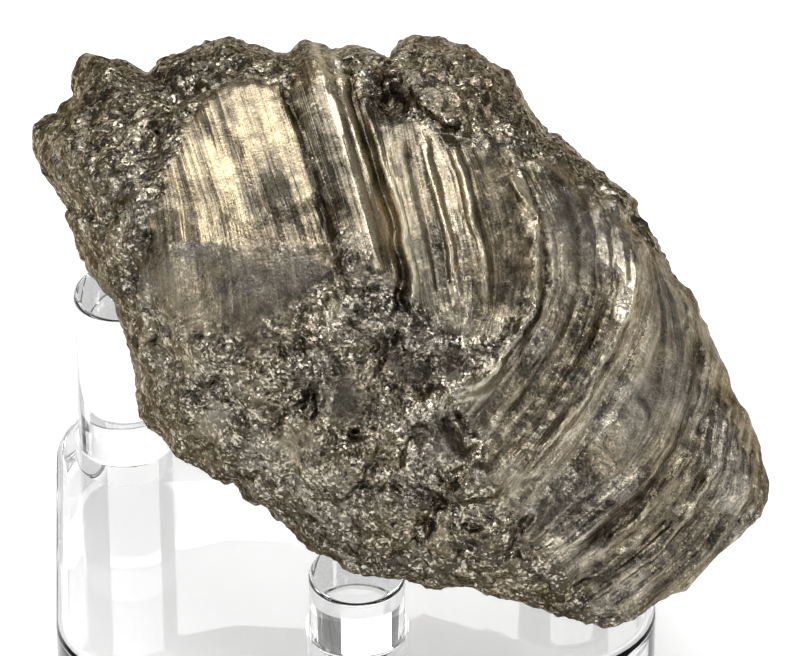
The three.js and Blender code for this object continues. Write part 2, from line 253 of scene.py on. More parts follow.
# %% [markdown]
# Each peg stands in a blind socket with a hair of air around it, which shows in the photograph as a
# white crescent at the peg's foot. An inset and an extrusion could make a socket, but it would
# disturb the flat top, so a Boolean cuts each one with a cylinder a little wider than the peg.

# %% Sockets
PEG_NODES = ("peg_rear_left", "peg_rear_right", "peg_front")
SOCKET_GAP = 0.3 * MM
ROUND_FACES = 64

for node in PEG_NODES:
    peg_low, peg_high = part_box(node)
    radius = (peg_high.x - peg_low.x) / 2 + SOCKET_GAP
    bottom = peg_low.z - SOCKET_GAP
    deselect_all()
    bpy.ops.mesh.primitive_cylinder_add(
        vertices=ROUND_FACES,
        radius=radius,
        depth=high.z,
        location=((peg_low.x + peg_high.x) / 2, (peg_low.y + peg_high.y) / 2, bottom + high.z / 2),
    )
    cutter = bpy.context.object
    cut = block.modifiers.new("socket", "BOOLEAN")
    cut.object = cutter
    cut.operation = "DIFFERENCE"
    deselect_all()
    bpy.context.view_layer.objects.active = block
    block.select_set(True)
    bpy.ops.object.modifier_apply(modifier=cut.name)
    bpy.data.objects.remove(cutter)

polish(block)
finish_piece(block, "stand_base", acrylic)

# %% [markdown]
# The pegs are cut from round rod and their ends are eased by less than half a millimetre. Each
# starts as a cylinder of its node's own size, because the front peg is shorter than the others,
# and its two rims are bevelled.

# %% Pegs
ROD_EASED = 0.4 * MM
ROD_EASED_STEPS = 3

for node in PEG_NODES:
    peg_low, peg_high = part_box(node)
    deselect_all()
    bpy.ops.mesh.primitive_cylinder_add(
        vertices=ROUND_FACES,
        radius=(peg_high.x - peg_low.x) / 2,
        depth=peg_high.z - peg_low.z,
        location=(peg_low + peg_high) / 2,
    )
    peg = bpy.context.object
    bpy.ops.object.transform_apply(location=True, rotation=True, scale=True)
    pick_edges(peg, lambda a, b: abs(a.z - b.z) < HAIR)
    bpy.ops.mesh.bevel(offset=ROD_EASED, segments=ROD_EASED_STEPS, affect="EDGES")
    bpy.ops.object.mode_set(mode="OBJECT")
    polish(peg)
    finish_piece(peg, node, acrylic)

# %% [markdown]
# The stone has its own directions: u along its length, v up its face and w out of the face. All of
# its forms are laid out in those, in millimetres, from a point inside it. The outline is the one
# that the photograph shows, read at every place where it turns.

# %% The stone's frame and outline
STONE_MIDDLE = np.array([3.9, -4.8, 36.0])
STONE_TURN = math.radians(2.3)
STONE_LEAN = math.radians(40)
TAPER = 535 # the stone narrows by one part in this for each mm towards its face

right = np.array([math.cos(STONE_TURN), -math.sin(STONE_TURN), 0.0])
up = np.array([
    math.sin(STONE_TURN) * math.sin(STONE_LEAN),
    math.cos(STONE_TURN) * math.sin(STONE_LEAN),
    math.cos(STONE_LEAN),
])
outwards = np.cross(right, up)

OUTLINE = [
    (-23, 21.5), (-24.3, 21.6), (-25.4, 22.2), (-26, 21.8), (-26.8, 20.4), (-26.8, 18.9),
    (-28.2, 17.2), (-29.7, 16.2), (-30.1, 14.4), (-28.9, 12.1), (-27.5, 10.7), (-26.8, 9.4),
    (-27.2, 9), (-25.3, 4.4), (-23.5, 2.2), (-21.5, -4.1), (-21.6, -5.7), (-21.2, -7.4),
    (-18.4, -10.7), (-14.3, -12.9), (-13.6, -12.9), (-12.5, -14.2), (-11.4, -14.6),
    (-6.5, -18.8), (-2.5, -20.4), (0.7, -20.8), (2.9, -21.6), (4.5, -21.1), (6.2, -21.3),
    (7.2, -22.1), (9.8, -22.5), (15.4, -24.6), (16.9, -24.7), (19, -24.1), (22.1, -22),
    (23.3, -21.7), (28.9, -16), (29.9, -14.1), (30.1, -12.9), (29.3, -9), (28.3, -7.1),
    (27.3, -6), (26.8, -4.9), (26.8, -3.7), (23.9, 2.5), (22.2, 4.4), (21.3, 6.5), (19.5, 9.1),
    (19.2, 10.2), (13.8, 14.8), (12.8, 15.5), (11.9, 15.6), (9.7, 19.4), (8.1, 21.1),
    (5.3, 22.9), (2.8, 23.5), (1, 23.6), (0, 23.1), (-1, 21.9), (-2.2, 22.5), (-4.4, 22.8),
    (-5.9, 22.6), (-7.8, 23.4), (-9, 22.4), (-10.1, 22.3), (-13.2, 23.3), (-14.5, 23.4),
    (-16.9, 22.8), (-20, 21.4), (-20.9, 20.7),
]
print("outline:", len(OUTLINE), "corners")

# %% [markdown]
# Everything on the stone is a path or a spot: folds run along paths, layers break off along them,
# lumps and pits sit at spots. One helper therefore says where each point of the surface lies beside
# a path: how far off, on which side, and how near the path's ends.

# %% Helpers for steps and paths
FADE = 0.12 # the share of a path over which it fades at either end


def smooth_step(low, high, x):
    """0 below low, 1 above high and an even bend between them."""
    t = np.clip((x - low) / (high - low), 0, 1)
    return t * t * (3 - 2 * t)


def beside(path, u, v):
    """Distance to a path, signed offset (left of it is positive) and a fade to 0 at both ends."""
    path = np.array(path, float)
    runs = path[1:] - path[:-1]
    lengths = np.hypot(runs[:, 0], runs[:, 1])
    walked = np.concatenate([[0], np.cumsum(lengths)])
    distance = np.full(u.shape, np.inf)
    offset = np.zeros(u.shape)
    place = np.zeros(u.shape)
    for start, run, length, before in zip(path, runs, lengths, walked):
        to_u, to_v = u - start[0], v - start[1]
        t = np.clip((to_u * run[0] + to_v * run[1]) / length**2, 0, 1)
        gap = np.hypot(to_u - t * run[0], to_v - t * run[1])
        nearer = gap < distance
        distance = np.where(nearer, gap, distance)
        offset = np.where(nearer, (run[0] * to_v - run[1] * to_u) / length, offset)
        place = np.where(nearer, (before + t * length) / walked[-1], place)
    fade = smooth_step(0, FADE, place) * smooth_step(0, FADE, 1 - place)
    return distance, offset, fade


sample = beside([(0, 0), (10, 0)], np.array([5.0]), np.array([1.0]))
print("distance, offset and fade 1 mm beside a path:", [float(value[0]) for value in sample])

# %% [markdown]
# Broken stone is uneven at every size, and the unevenness must be the same each time the script
# runs. So a fixed random number belongs to every whole-number cell, and noise blends between the
# corners of a cell. Rounded noise looks like clay. Where noise changes sign, its absolute value
# has a crease, and several of those together give the flat facets of crumbled graphite.

# %% Helpers for noise
CELL_PRIMES = (374761393, 668265263, 2246822519)
LAST_PRIME = 2654435761
SEED_PRIME = 7919
FACET_TURN = 0.6 # radians, the direction of the first creases
FACET_TURN_STEP = 1.1


def scatter(*cells, seed):
    """A fixed random number from 0 to 1 for each whole-number cell."""
    mixed = np.full(np.shape(cells[0]), seed * SEED_PRIME + 17, np.uint32)
    for cell, prime in zip(cells, CELL_PRIMES):
        mixed = (mixed ^ (cell.astype(np.int64) & 0xFFFFFFFF).astype(np.uint32)) * np.uint32(prime)
        mixed ^= mixed >> np.uint32(15)
    mixed *= np.uint32(LAST_PRIME)
    mixed ^= mixed >> np.uint32(13)
    return mixed / 2**32


def noise(x, y, z, seed):
    """Smooth random hills from -1 to 1, about one in each unit of length."""
    cells = [np.floor(c).astype(np.int64) for c in (x, y, z)]
    inside = [smooth_step(0, 1, c - f) for c, f in zip((x, y, z), cells)]
    total = np.zeros(np.shape(x))
    for corner in range(8):
        step = [(corner >> axis) & 1 for axis in range(3)]
        weight = 1.0
        for axis in range(3):
            weight = weight * (inside[axis] if step[axis] else 1 - inside[axis])
        total += weight * scatter(*[f + s for f, s in zip(cells, step)], seed=seed)
    return total * 2 - 1


def layered_noise(x, y, z, layers, seed):
    """Noise with smaller and smaller noise on top."""
    total, size = 0.0, 1.0
    for layer in range(layers):
        total = total + noise(x / size, y / size, z / size, seed + layer) * size
        size /= 2
    return total


def crumple(points, size, seed):
    """Flat facets that meet in sharp creases, some up and some down, like crushed foil."""
    x, y, z = (c / size for c in points)
    total = np.zeros(np.shape(x))
    for fold, way in enumerate((1, -1, 1, -1)):
        turn = FACET_TURN + FACET_TURN_STEP * fold
        across = x * math.cos(turn) - y * math.sin(turn)
        along = x * math.sin(turn) + y * math.cos(turn)
        total += way * abs(noise(across, along, z + 0.6 * across, seed=seed + fold))
    return total * size


halves = np.arange(4) + 0.5
print("noise at four places:", noise(halves, halves, halves, seed=0).round(2).tolist())

# %% [markdown]
# The broad form comes first. The face is a set of broken planes that meet in soft edges, and the
# underside is one plane through the three peg tops with its ends cut away. A soft minimum joins
# planes the way weathering does: flat in the middle and rounded where two meet.

# %% Broad form
FACE_TOP = 8.5
FACE_ROUNDING = 1.5
FACE_PLANES = [ # direction, where it starts to fall, how fast it falls
    ((0, 1), 6.5, 0),
    ((0, 1), 6.5, 0.8),
    ((1, 0), 9, 0.45),
    ((-0.59, -0.81), 11, 0.9),
    ((-1, 0.1), 18, 0.9),
    ((0.75, -0.66), 18, 0.6),
    ((-0.6, 0.8), 17, 1.3),
]
UNDERSIDE_PLANES = [
    ((-1, 0), 17, 0.5),
    ((1, 0), 19, 0.6),
    ((0, 1), 13, 0.6),
]
RIM_HALF = 1.4 # half the rim's height
RIM_INSET = 0.965 # the underside's outline is drawn in this much
RIM_DEPTH = 13.5
RIM_LEAN = 0.42
RIM_LIFT = 2.5 # the rim lies this much higher at the right
RIM_WAVE = 0.9


def soft_min(values, rounding):
    """The lowest of several values, rounded where two of them meet."""
    return -rounding * np.log(sum(np.exp(-value / rounding) for value in values))


def falls(planes, u, v):
    """How far each broken plane lies below the level one."""
    return [fall * (way[0] * u + way[1] * v - start) for way, start, fall in planes]


def face_depth(u, v):
    """The broken planes of the face, joined softly."""
    return soft_min([FACE_TOP - fall for fall in falls(FACE_PLANES, u, v)], FACE_ROUNDING)


def to_stone(point):
    """A point of the part's frame, in mm, as the stone's u, v and w."""
    away = np.asarray(point, float) - STONE_MIDDLE
    return np.array([away @ right, away @ up, away @ outwards])


peg_tops = []
for node in PEG_NODES:
    peg_low, peg_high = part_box(node)
    middle = (peg_low + peg_high) / 2
    peg_tops.append((middle.x / MM, middle.y / MM, peg_high.z / MM))
left_rest, right_rest, front_rest = (to_stone(top) for top in peg_tops)
rest_normal = np.cross(right_rest - left_rest, front_rest - left_rest)


def underside_depth(u, v):
    """The plane through the peg tops, with its ends cut away."""
    n = rest_normal
    level = left_rest[2] - (n[0] * (u - left_rest[0]) + n[1] * (v - left_rest[1])) / n[2]
    cuts = [-level - fall for fall in falls(UNDERSIDE_PLANES, u, v)]
    return -soft_min([-level, *cuts], FACE_ROUNDING)


def rim_depth(u, v):
    """Where the side of the stone is widest."""
    angle = np.arctan2(v, u)
    wave = RIM_WAVE * (np.sin(3 * angle + 1) + np.sin(7 * angle) / 2)
    return -RIM_DEPTH - RIM_LEAN * v + RIM_LIFT * smooth_step(4, 16, u) + wave


print("peg tops in the stone's frame:", [np.round(to_stone(t), 1).tolist() for t in peg_tops])

# %% [markdown]
# Next the forms that tell this stone from another. Thick folds and thin crests run down its upper
# half. Curved plates, like nested shells, fill its right side, each broken off along a crescent.
# The left knob and the crown stand out, and clefts separate them. Each is one path or spot with a
# width and a height, so it can be adjusted against the photograph by itself.

# %% Paths of the face
FINGER = [
    (-8.6, 27), (-8, 24.5), (-7.1, 20.5), (-5.9, 16.5), (-4.7, 12.5), (-3.5, 8.2), (-2.5, 4.6),
    (-1.9, 2.4),
]
FINGER_CREST = [
    (-7.6, 25.5), (-6.9, 22.5), (-6.4, 20.6), (-5.1, 16.6), (-3.7, 12.5), (-2.8, 8.8), (-2, 5.2),
    (-1.4, 2.6),
]
THIN_CREST = [
    (-6.1, 24.6), (-5.5, 22.3), (-5, 20.5), (-4.3, 17.8), (-3.4, 15.1), (-2.4, 11.9), (-1.2, 8.6),
    (-0.4, 5.2), (-0.1, 3),
]
FINGER_SIDE = [(-10, 19.6), (-8.6, 17), (-7.7, 14.4), (-6.8, 11.6), (-6.3, 9.3), (-6, 7)]
DARK_BAND = [(-4.3, 21), (-3.8, 18.6), (-2.8, 15.1), (-1.7, 11.5), (-0.6, 7.9), (0.2, 4.3), (0.6, 1.2)]
SECOND_RIB = [(-2.9, 17.8), (-2.4, 15.6), (-1.3, 12.5), (-0.4, 9.6), (0.3, 7), (0.9, 3.9), (1.3, 1)]
TAN_RIB = [(-0.4, 15.7), (0.3, 11.6), (0.9, 8.8), (1.7, 5.2), (2.4, 1.6)]
THIRD_RIB = [(1.6, 15.7), (2.2, 13.6), (2.9, 11.2), (3.7, 7.9), (4.3, 4.3), (4.8, 0.8)]
FOURTH_RIB = [(3.9, 15.2), (5.1, 12.6), (5.9, 8.8), (6.5, 6.4), (6.9, 4.3), (7.2, 1.2)]
TONGUE = [(6.3, 14.6), (7.9, 10.8), (8.9, 7.2), (8.7, 3.4), (7.9, 0.4)]
CREVICE = [(9.3, 13.7), (10.4, 12), (11.3, 9), (11.9, 6.3), (11.9, 3.4), (11.1, 0.6), (9.8, -1.4)]
PLATE_HOLLOW = [(14, 11.9), (15.5, 7.8), (15.5, 3.1), (13.7, -2), (10.7, -6.5), (8, -9.8)]
FLAKY_EDGE = [(8.4, 14.6), (10, 11.2), (10.9, 7.4), (11.1, 3.3), (9.6, -0.2), (7.6, -3), (5.6, -5)]
CRESCENT_ONE = [
    (5.4, -6.4), (7.2, -4.4), (9.1, -1.7), (10.8, 1), (11.7, 3.6), (11.7, 6.4), (10.9, 9.1),
    (9.5, 11.9), (8.1, 14.3),
]
CRESCENT_TWO = [
    (9.8, -13), (12.7, -9.5), (15.1, -6.3), (17.2, -2.8), (18.7, 0.2), (19.5, 3.6), (19.3, 6.7),
    (18.2, 9.4), (16.5, 11.7),
]
OUTER_LEAF = [
    (13, -18.9), (16.3, -16.4), (19.5, -13.6), (22.1, -9.9), (23.6, -6.3), (24.2, -2.2),
    (23.5, 1.9), (21.6, 5.5), (20, 9.2),
]
print("the raised fold runs from", FINGER[0], "to", FINGER[-1])

# %% [markdown]
# Each form is one line of a list, so that its width and height can be changed alone. Modelling them
# by hand would mix them into one surface, where none could be corrected without the others.

# %% Folds, ledges, clefts and lumps of the face
FACE_RIDGES = [ # path, half width, height
    (FINGER, 2.5, 2.2),
    (FINGER_CREST, 0.7, 0.5),
    (THIN_CREST, 0.4, 0.4),
    (SECOND_RIB, 0.6, 0.9),
    (TAN_RIB, 0.9, 0.6),
    (THIRD_RIB, 0.5, 0.7),
    (FOURTH_RIB, 0.5, 0.8),
    (CRESCENT_ONE, 0.7, 0.6),
    (CRESCENT_TWO, 0.8, 0.6),
    ([(-19.5, 20.8), (-17.1, 21.8), (-14.3, 22.3), (-11.4, 22), (-9.2, 21)], 1.2, 1.5),
    ([(-22.1, 18.4), (-20.4, 17.8), (-18.7, 16.6), (-17.5, 15.5)], 0.6, 0.7),
    ([(-22.6, 17.2), (-20.9, 16.6), (-19.2, 15.3)], 0.5, 0.6),
    ([(22.5, -8.3), (20.4, -11.6), (17.3, -15), (13.5, -17.9), (9.8, -19.7)], 0.6, 0.6),
    ([(24.4, -9.1), (22.1, -12.5), (19.2, -16), (16.1, -18.9)], 0.6, 0.6),
    ([(25.7, -11.6), (23.6, -15.2), (20.8, -18.2), (17.8, -20.5)], 0.6, 0.6),
    ([(3.1, -6.7), (5, -5.5), (7.2, -4.1), (9, -2.6)], 0.8, 0.8),
]
FACE_GROOVES = [ # path, half width, depth
    (DARK_BAND, 0.6, 0.9),
    (FINGER_SIDE, 0.35, 0.5),
    (TONGUE, 2, 0.9),
    (PLATE_HOLLOW, 2.7, 1),
    (CREVICE, 0.4, 0.4),
    ([(-20.7, 20.5), (-19.2, 19.2), (-17.6, 18.1)], 0.8, 1.8),
    ([(-27.9, 16.4), (-26.7, 16.1), (-25.7, 15.8)], 0.6, 1.2),
    ([(-20.2, 8), (-20.4, 6.8), (-20.7, 5.4), (-21.8, 4.2), (-22.4, 3)], 0.6, 0.8),
    ([(23.7, -0.2), (24, -1.6), (23.9, -3)], 0.35, 0.5),
    ([(25.2, -5.8), (25, -7.4), (24.4, -8.9)], 0.35, 0.5),
    ([(11.1, -15), (9.2, -17.2), (8, -19.1), (7.3, -20.2)], 0.5, 0.7),
    ([(3.2, -13.6), (2.3, -16.3), (1.3, -17.9)], 0.6, 0.7),
    ([(-7.4, -4.2), (-7.6, -8.1), (-7.9, -11.8)], 0.6, 0.5),
]
FACE_LEDGES = [ # path, height of its left side, distance over which that side sinks back
    ([(-5.5, 9.2), (-6.5, 11.9), (-7.7, 14.7), (-9, 17.4), (-10.1, 19.5), (-12.2, 20),
      (-14.5, 19.4), (-16.3, 18.1), (-17.6, 16)], 1, 6),
    (CRESCENT_ONE, 1.8, 3.3),
    (CRESCENT_TWO, 1.7, 4),
    (OUTER_LEAF, 1.2, 4),
    ([(-4.5, 21.5), (-2.3, 21.3), (-0.3, 20.8), (1, 19.2), (1.6, 17.6), (3.3, 16.3),
      (5.7, 15.3)], 1.1, 3),
    ([(6.2, -20.4), (8.1, -20.3), (10.2, -20.7), (12.1, -21.3), (13.8, -22.1)], 1.4, 3),
    ([(0, -8), (2.4, -7.4), (4, -6.2), (4.6, -4.4)], 0.8, 2.5),
    ([(-14, -6), (-11, -7.2), (-8, -6), (-6.4, -3.4)], 0.8, 3),
    ([(-9, -14), (-5.5, -14.2), (-3, -12.4), (-1.6, -9.6)], 0.8, 3),
    ([(1, -13), (4, -14.4), (7.6, -14), (10, -11.8)], 0.8, 3),
]
FACE_LUMPS = [ # place, radius, height (a pit where it is negative)
    ((-24.8, 14.9), 4.8, 2.6),
    ((-24.6, 19.9), 2.4, 1),
    ((4.2, 19.9), 5, 2),
    ((27.5, -11.6), 4, 1.2),
    ((19.5, -21.3), 4, 1),
    ((-17.8, -7.9), 3.3, 0.9),
    ((-12.2, -10.3), 3.6, 1),
    ((-15.9, -2), 2.9, 0.9),
    ((-5.7, -11.6), 3.4, 1),
    ((-1.2, -15.6), 3.2, 1),
    ((2.4, -10.7), 2.8, 1),
    ((-3.9, -1.8), 3, 0.8),
    ((5.7, -12.4), 2.8, 0.8),
    ((4.5, -18.9), 2.6, 0.8),
    ((-1, 17.8), 1.8, -2),
    ((2, -4.4), 1.9, -0.8),
]
print("face:", len(FACE_RIDGES), "ridges,", len(FACE_GROOVES), "grooves,", len(FACE_LEDGES), "ledges")

# %% [markdown]
# Nobody sees the underside in the photograph, but it is as real as the face. A plain one would look
# sawn off from behind, so it gets the same kinds of form. They are invented, and the first three
# lumps sit on the pegs.

# %% Forms of the underside
UNDERSIDE_RIDGES = [
    ([(-16, -4), (-6, 0), (5, 1), (16, -4)], 2.5, 1),
    ([(-12, 12), (-2, 9), (9, 10)], 2, 0.9),
    ([(-10, -10), (0, -8), (12, -9)], 0.8, 0.7),
    ([(-14, 6), (-4, 4), (7, 8)], 0.7, 0.7),
    ([(8, 14), (14, 8), (20, -2)], 0.8, 0.7),
]
UNDERSIDE_GROOVES = [
    ([(-14, -8), (-4, -5), (6, -6), (20, -12)], 1.4, 1.3),
    ([(-8, 5), (3, 6), (12, 2)], 1, 1.1),
]
UNDERSIDE_LEDGES = [
    ([(-20, -2), (-9, 3), (2, 5), (13, 12)], 1.2, 6),
    ([(-6, -15), (4, -11), (15, -14), (24, -11)], 1, 5),
    ([(-18, 12), (-8, 14), (2, 13), (10, 16)], 1, 4),
]
UNDERSIDE_LUMPS = [
    ((-20.5, 3), 6.5, 2.6),
    ((14.4, 3.6), 6.5, 1.6),
    ((-3.6, -17.2), 6, 2.4),
    ((-2, 12), 6, 1.5),
    ((20, -14), 6, 1.2),
    ((-24, 15), 5, 1.2),
]
print("underside:", len(UNDERSIDE_RIDGES), "ridges,", len(UNDERSIDE_LEDGES), "ledges")

# %% [markdown]
# A ridge or a groove is a rounded band along its path. A ledge is what a broken layer leaves: it
# rises sharply at the path and sinks back slowly on the left side of it. A lump or a pit is a dome
# around its spot. All of them are added up, because on the stone they run over each other.

# %% Height of the forms
LEDGE_EDGE = 0.3 # half the width of a ledge's broken edge


def relief(ridges, grooves, ledges, lumps, u, v):
    """The height that all the forms add to each point."""
    height = np.zeros(u.shape)
    signed = [*ridges, *[(path, half, -depth) for path, half, depth in grooves]]
    for path, half, rise in signed:
        distance, _, fade = beside(path, u, v)
        height += rise * fade * np.clip(1 - (distance / half) ** 2, 0, 1) ** 1.2
    for path, step, sinking in ledges:
        distance, offset, fade = beside(path, u, v)
        inwards = distance * np.sign(offset)
        rise = smooth_step(-LEDGE_EDGE, LEDGE_EDGE, inwards)
        height += step * fade * rise * np.exp(-np.clip(inwards, 0, None) / sinking)
    for place, radius, rise in lumps:
        across = np.hypot(u - place[0], v - place[1]) / radius
        height += rise * np.clip(1 - across**2, 0, 1)
    return height


top = relief(FACE_RIDGES, [], [], [], np.array([-5.9]), np.array([16.5]))
print("the raised fold stands", round(float(top[0]), 1), "mm high")

# %% [markdown]
# Striations follow the plates, so they can't be straight. A grain field is laid over the face: each
# line below is given a number, and every point takes its own number from the lines near it. Where
# the number is constant, the grain runs. Noise that changes quickly with the number and slowly
# along the line then gives fine parallel striations that bend with the plates.

# %% Grain of the face
GRAIN_LINES = [ # number, path from top to bottom
    (-16, [(-21, 17), (-19.5, 10), (-18.5, 2), (-19, -6)]),
    (-12, [(-17.5, 17), (-15.2, 10), (-13.8, 3), (-13.5, -6), (-10, -14)]),
    (-8, [(-14, 20), (-11.8, 13), (-9.6, 6), (-8.6, -2), (-6, -12)]),
    (-4, [(-10, 20), (-8.2, 14), (-6, 8), (-4.2, 2), (-2.5, -8)]),
    (0, FINGER),
    (2.6, DARK_BAND),
    (5.2, TAN_RIB),
    (8.6, FOURTH_RIB),
    (10.8, TONGUE),
    (12.6, CRESCENT_ONE[::-1]),
    (16.2, PLATE_HOLLOW),
    (20, CRESCENT_TWO[::-1]),
    (24.8, OUTER_LEAF[::-1]),
    (28, [(26.5, -4), (25.7, -11.6), (23.6, -15.2), (20.8, -18.2), (17.8, -20.5)]),
    (31, [(28.5, -9), (28, -14), (25, -18.5), (21, -22)]),
]
LINE_SOFTNESS = 0.2


def grain_number(u, v):
    """Each point's number, from the lines near it."""
    total, weights = np.zeros(u.shape), np.zeros(u.shape)
    for number, path in GRAIN_LINES:
        distance, offset, _ = beside(path, u, v)
        weight = 1 / (distance**2 + LINE_SOFTNESS) ** 1.5
        total += weight * (number + offset)
        weights += weight
    return total / weights


print("grain numbers from", GRAIN_LINES[0][0], "to", GRAIN_LINES[-1][0])

# %% [markdown]
# The face isn't finished alike all over. The fan plate and the folds are striated, the nested plates
# have fine parallel lines, and the lower left, the knob and the crown are a crumble of small bright
# flakes. A painted mask could say which is which, but a polygon with a soft edge can be read and
# corrected point by point.

# %% Regions of the face
FAN = [
    (-17.6, 16), (-16.3, 18.1), (-14.5, 19.4), (-12.2, 20), (-10.1, 19.5), (-9, 17.4),
    (-7.7, 14.7), (-6.5, 11.9), (-5.5, 9.2), (-5.3, 6.4), (-20.4, 6.7), (-19.7, 9.6), (-18.6, 13.3),
]
GREY_PLANE = [
    (-20.4, 6.7), (-5.3, 6.4), (-5.7, 3.5), (-9, 1.1), (-13, -0.6), (-17.1, -0.2), (-20.4, 1.5),
    (-21.2, 4.7),
]
FOLDS = [
    (-8.1, 21.6), (-7, 22.2), (-5.4, 21.8), (-4.3, 20.6), (-1.5, 17.4), (1.2, 16.4), (5.5, 14.6),
    (8.1, 14), (10.8, 9.2), (11.8, 3.9), (8.1, -1.4), (3.3, -0.2), (0.8, 3.1), (-3.3, 5.6),
    (-5.5, 9.2), (-7.5, 14.5), (-9.2, 19.5),
]
PLATES = [
    (8.1, 14.2), (12, 14), (16.6, 10.6), (19.6, 7.4), (23, 3), (28, -2), (31, -11.6), (25, -23),
    (17.5, -23.8), (9.8, -17), (5.3, -6.4), (10.8, 1), (11.7, 6.4), (9.5, 11.9),
]
SMOOTH_GREY = [
    (20, 6.5), (22.5, 3), (23.8, -2.5), (23, -7.5), (20.5, -11.5), (17, -11), (18.5, -6), (20, -1),
]


def region(polygon, softness, u, v):
    """1 inside a polygon and 0 outside, with a soft edge."""
    distance, _, _ = beside([*polygon, polygon[0]], u, v)
    inside = np.zeros(u.shape, bool)
    for (u0, v0), (u1, v1) in zip(polygon, [*polygon[1:], polygon[0]]):
        if v0 != v1:
            crossing = u0 + (v - v0) * (u1 - u0) / (v1 - v0)
            inside ^= ((v0 > v) != (v1 > v)) & (u < crossing)
    return smooth_step(-softness, softness, np.where(inside, distance, -distance))


inside_fan = region(FAN, 0.5, np.array([-12.0, 12.0]), np.array([12.0, 12.0]))
print("two points in and out of the fan:", inside_fan.tolist())

# %% [markdown]
# The stone starts as a flat grid that is extruded into a slab: its top becomes the face, its bottom
# the underside and its side the rim. The square rings of the grid are pressed into round ones that
# follow the outline, and each vertex takes its depth from the forms above. Operators can't give so
# irregular a surface, so the vertices are placed in code.

# %% Blank for the stone
FACE_CELLS = 280
RIM_STEPS = 4
NEARLY = 0.001

deselect_all()
bpy.ops.mesh.primitive_grid_add(x_subdivisions=FACE_CELLS, y_subdivisions=FACE_CELLS, size=2)
stone = bpy.context.object
bpy.ops.object.mode_set(mode="EDIT")
bpy.ops.mesh.select_all(action="SELECT")
for step in range(RIM_STEPS):
    bpy.ops.mesh.extrude_region_move(TRANSFORM_OT_translate={"value": (0, 0, 2 / RIM_STEPS)})
bpy.ops.mesh.select_all(action="SELECT")
bpy.ops.mesh.normals_make_consistent(inside=False)
bpy.ops.object.mode_set(mode="OBJECT")

blank = np.empty(len(stone.data.vertices) * 3)
stone.data.vertices.foreach_get("co", blank)
x, y, z = blank.reshape(-1, 3).T
side = z - 1 # 1 on the face, -1 on the underside, between them on the rim
on_face = side > 1 - NEARLY
on_underside = side < NEARLY - 1
print("blank:", len(x), "vertices, box", x.min(), x.max(), z.min(), z.max())

# %% [markdown]
# A grid is square and a stone is not. Cutting the grid along the outline would leave slivers at the
# rim, so its square rings are turned into round ones instead, and each is stretched to the outline.
# The rings crowd towards the rim, where the stone turns over. The outermost follow every turn of the
# outline and are a little ragged, and the inner ones follow a calmer line.

# %% Rings of the stone
RING_CROWDING = 1.35
TINY = 1e-9 # keeps a division by zero out of the middle row
DIRECTIONS = 1440 # four for each degree
CALM_SHIFTS = (-68, -34, 0, 34, 68) # directions that the calmer line is averaged over
RAGGED = 0.004 # how far the rim wanders, as a share of its reach
RAGGED_WAVES = 14

ring = np.maximum(abs(x), abs(y))
safe_x = np.where(x == 0, TINY, x)
safe_y = np.where(y == 0, TINY, y)
angle = np.where(
    abs(y) > abs(x),
    np.pi / 2 - np.pi / 4 * (x / safe_y) + np.where(y < 0, np.pi, 0),
    np.pi / 4 * (y / safe_x) + np.where(x < 0, np.pi, 0),
)
r = 1 - (1 - np.clip(ring, 0, 1)) ** RING_CROWDING


def outline_reach(angle):
    """How far the outline lies from the middle in the direction of an angle."""
    corners = np.array(OUTLINE, float)
    nexts = np.roll(corners, -1, axis=0)
    ray_u, ray_v = np.cos(angle), np.sin(angle)
    reach = np.zeros(np.shape(angle))
    for (au, av), (bu, bv) in zip(corners, nexts):
        hit = (au * ray_v - av * ray_u >= 0) & (ray_u * bv - ray_v * bu > 0)
        across = ray_u * (bv - av) - ray_v * (bu - au)
        reach = np.where(hit, (au * bv - av * bu) / np.where(across == 0, 1, across), reach)
    return reach


around = np.linspace(0, 2 * np.pi, DIRECTIONS, endpoint=False)
sharp = outline_reach(around)
uneven = layered_noise(around * RAGGED_WAVES, 0 * around, 0 * around, 3, seed=5)
ragged = sharp * (1 - RAGGED * (1 + uneven))
calm = sum(np.roll(sharp, shift) for shift in CALM_SHIFTS) / len(CALM_SHIFTS)
print("outline reaches", round(sharp.min(), 1), "to", round(sharp.max(), 1), "mm from the middle")

# %% [markdown]
# Now every vertex can be given its u and v. The reach of the outline is looked up in the direction
# of the vertex, and the vertex goes as far along it as its ring says. Below the rim the outline is
# drawn in a little, because a loose stone is never widest at its underside.

# %% Places along the face
wrapped = np.mod(angle, 2 * np.pi)
whole_turn = np.append(around, 2 * np.pi)
reach_rim = np.interp(wrapped, whole_turn, np.append(ragged, ragged[0]))
reach_calm = np.interp(wrapped, whole_turn, np.append(calm, calm[0]))
reach = reach_calm + (reach_rim - reach_calm) * r**4
inset = 1 - (1 - RIM_INSET) * np.clip(-side, 0, 1) ** 2
u = np.cos(angle) * reach * r * inset
v = np.sin(angle) * reach * r * inset
print("outline from", round(u.min(), 1), "to", round(u.max(), 1), "mm")

# %% [markdown]
# Much of the finish is bright, dull or smooth only in places, so spots and bands along a path are
# needed again and again. Worn steps are needed too. A worn edge could be bevelled, but here it runs
# through a dense skin, so each vertex is blended with its neighbours instead.

# %% Helpers for spots, bands and worn steps
edges = np.empty(len(stone.data.edges) * 2, np.int32)
stone.data.edges.foreach_get("vertices", edges)
starts, ends = edges.reshape(-1, 2).T
neighbours = np.bincount(starts, minlength=len(u)) + np.bincount(ends, minlength=len(u))


def soften(values, passes):
    """Blend each vertex's value with its neighbours' mean, which rounds steps like wear does."""
    for _ in range(passes):
        near = np.bincount(starts, values[ends], len(u)) + np.bincount(ends, values[starts], len(u))
        values = (values + near / neighbours) / 2
    return values


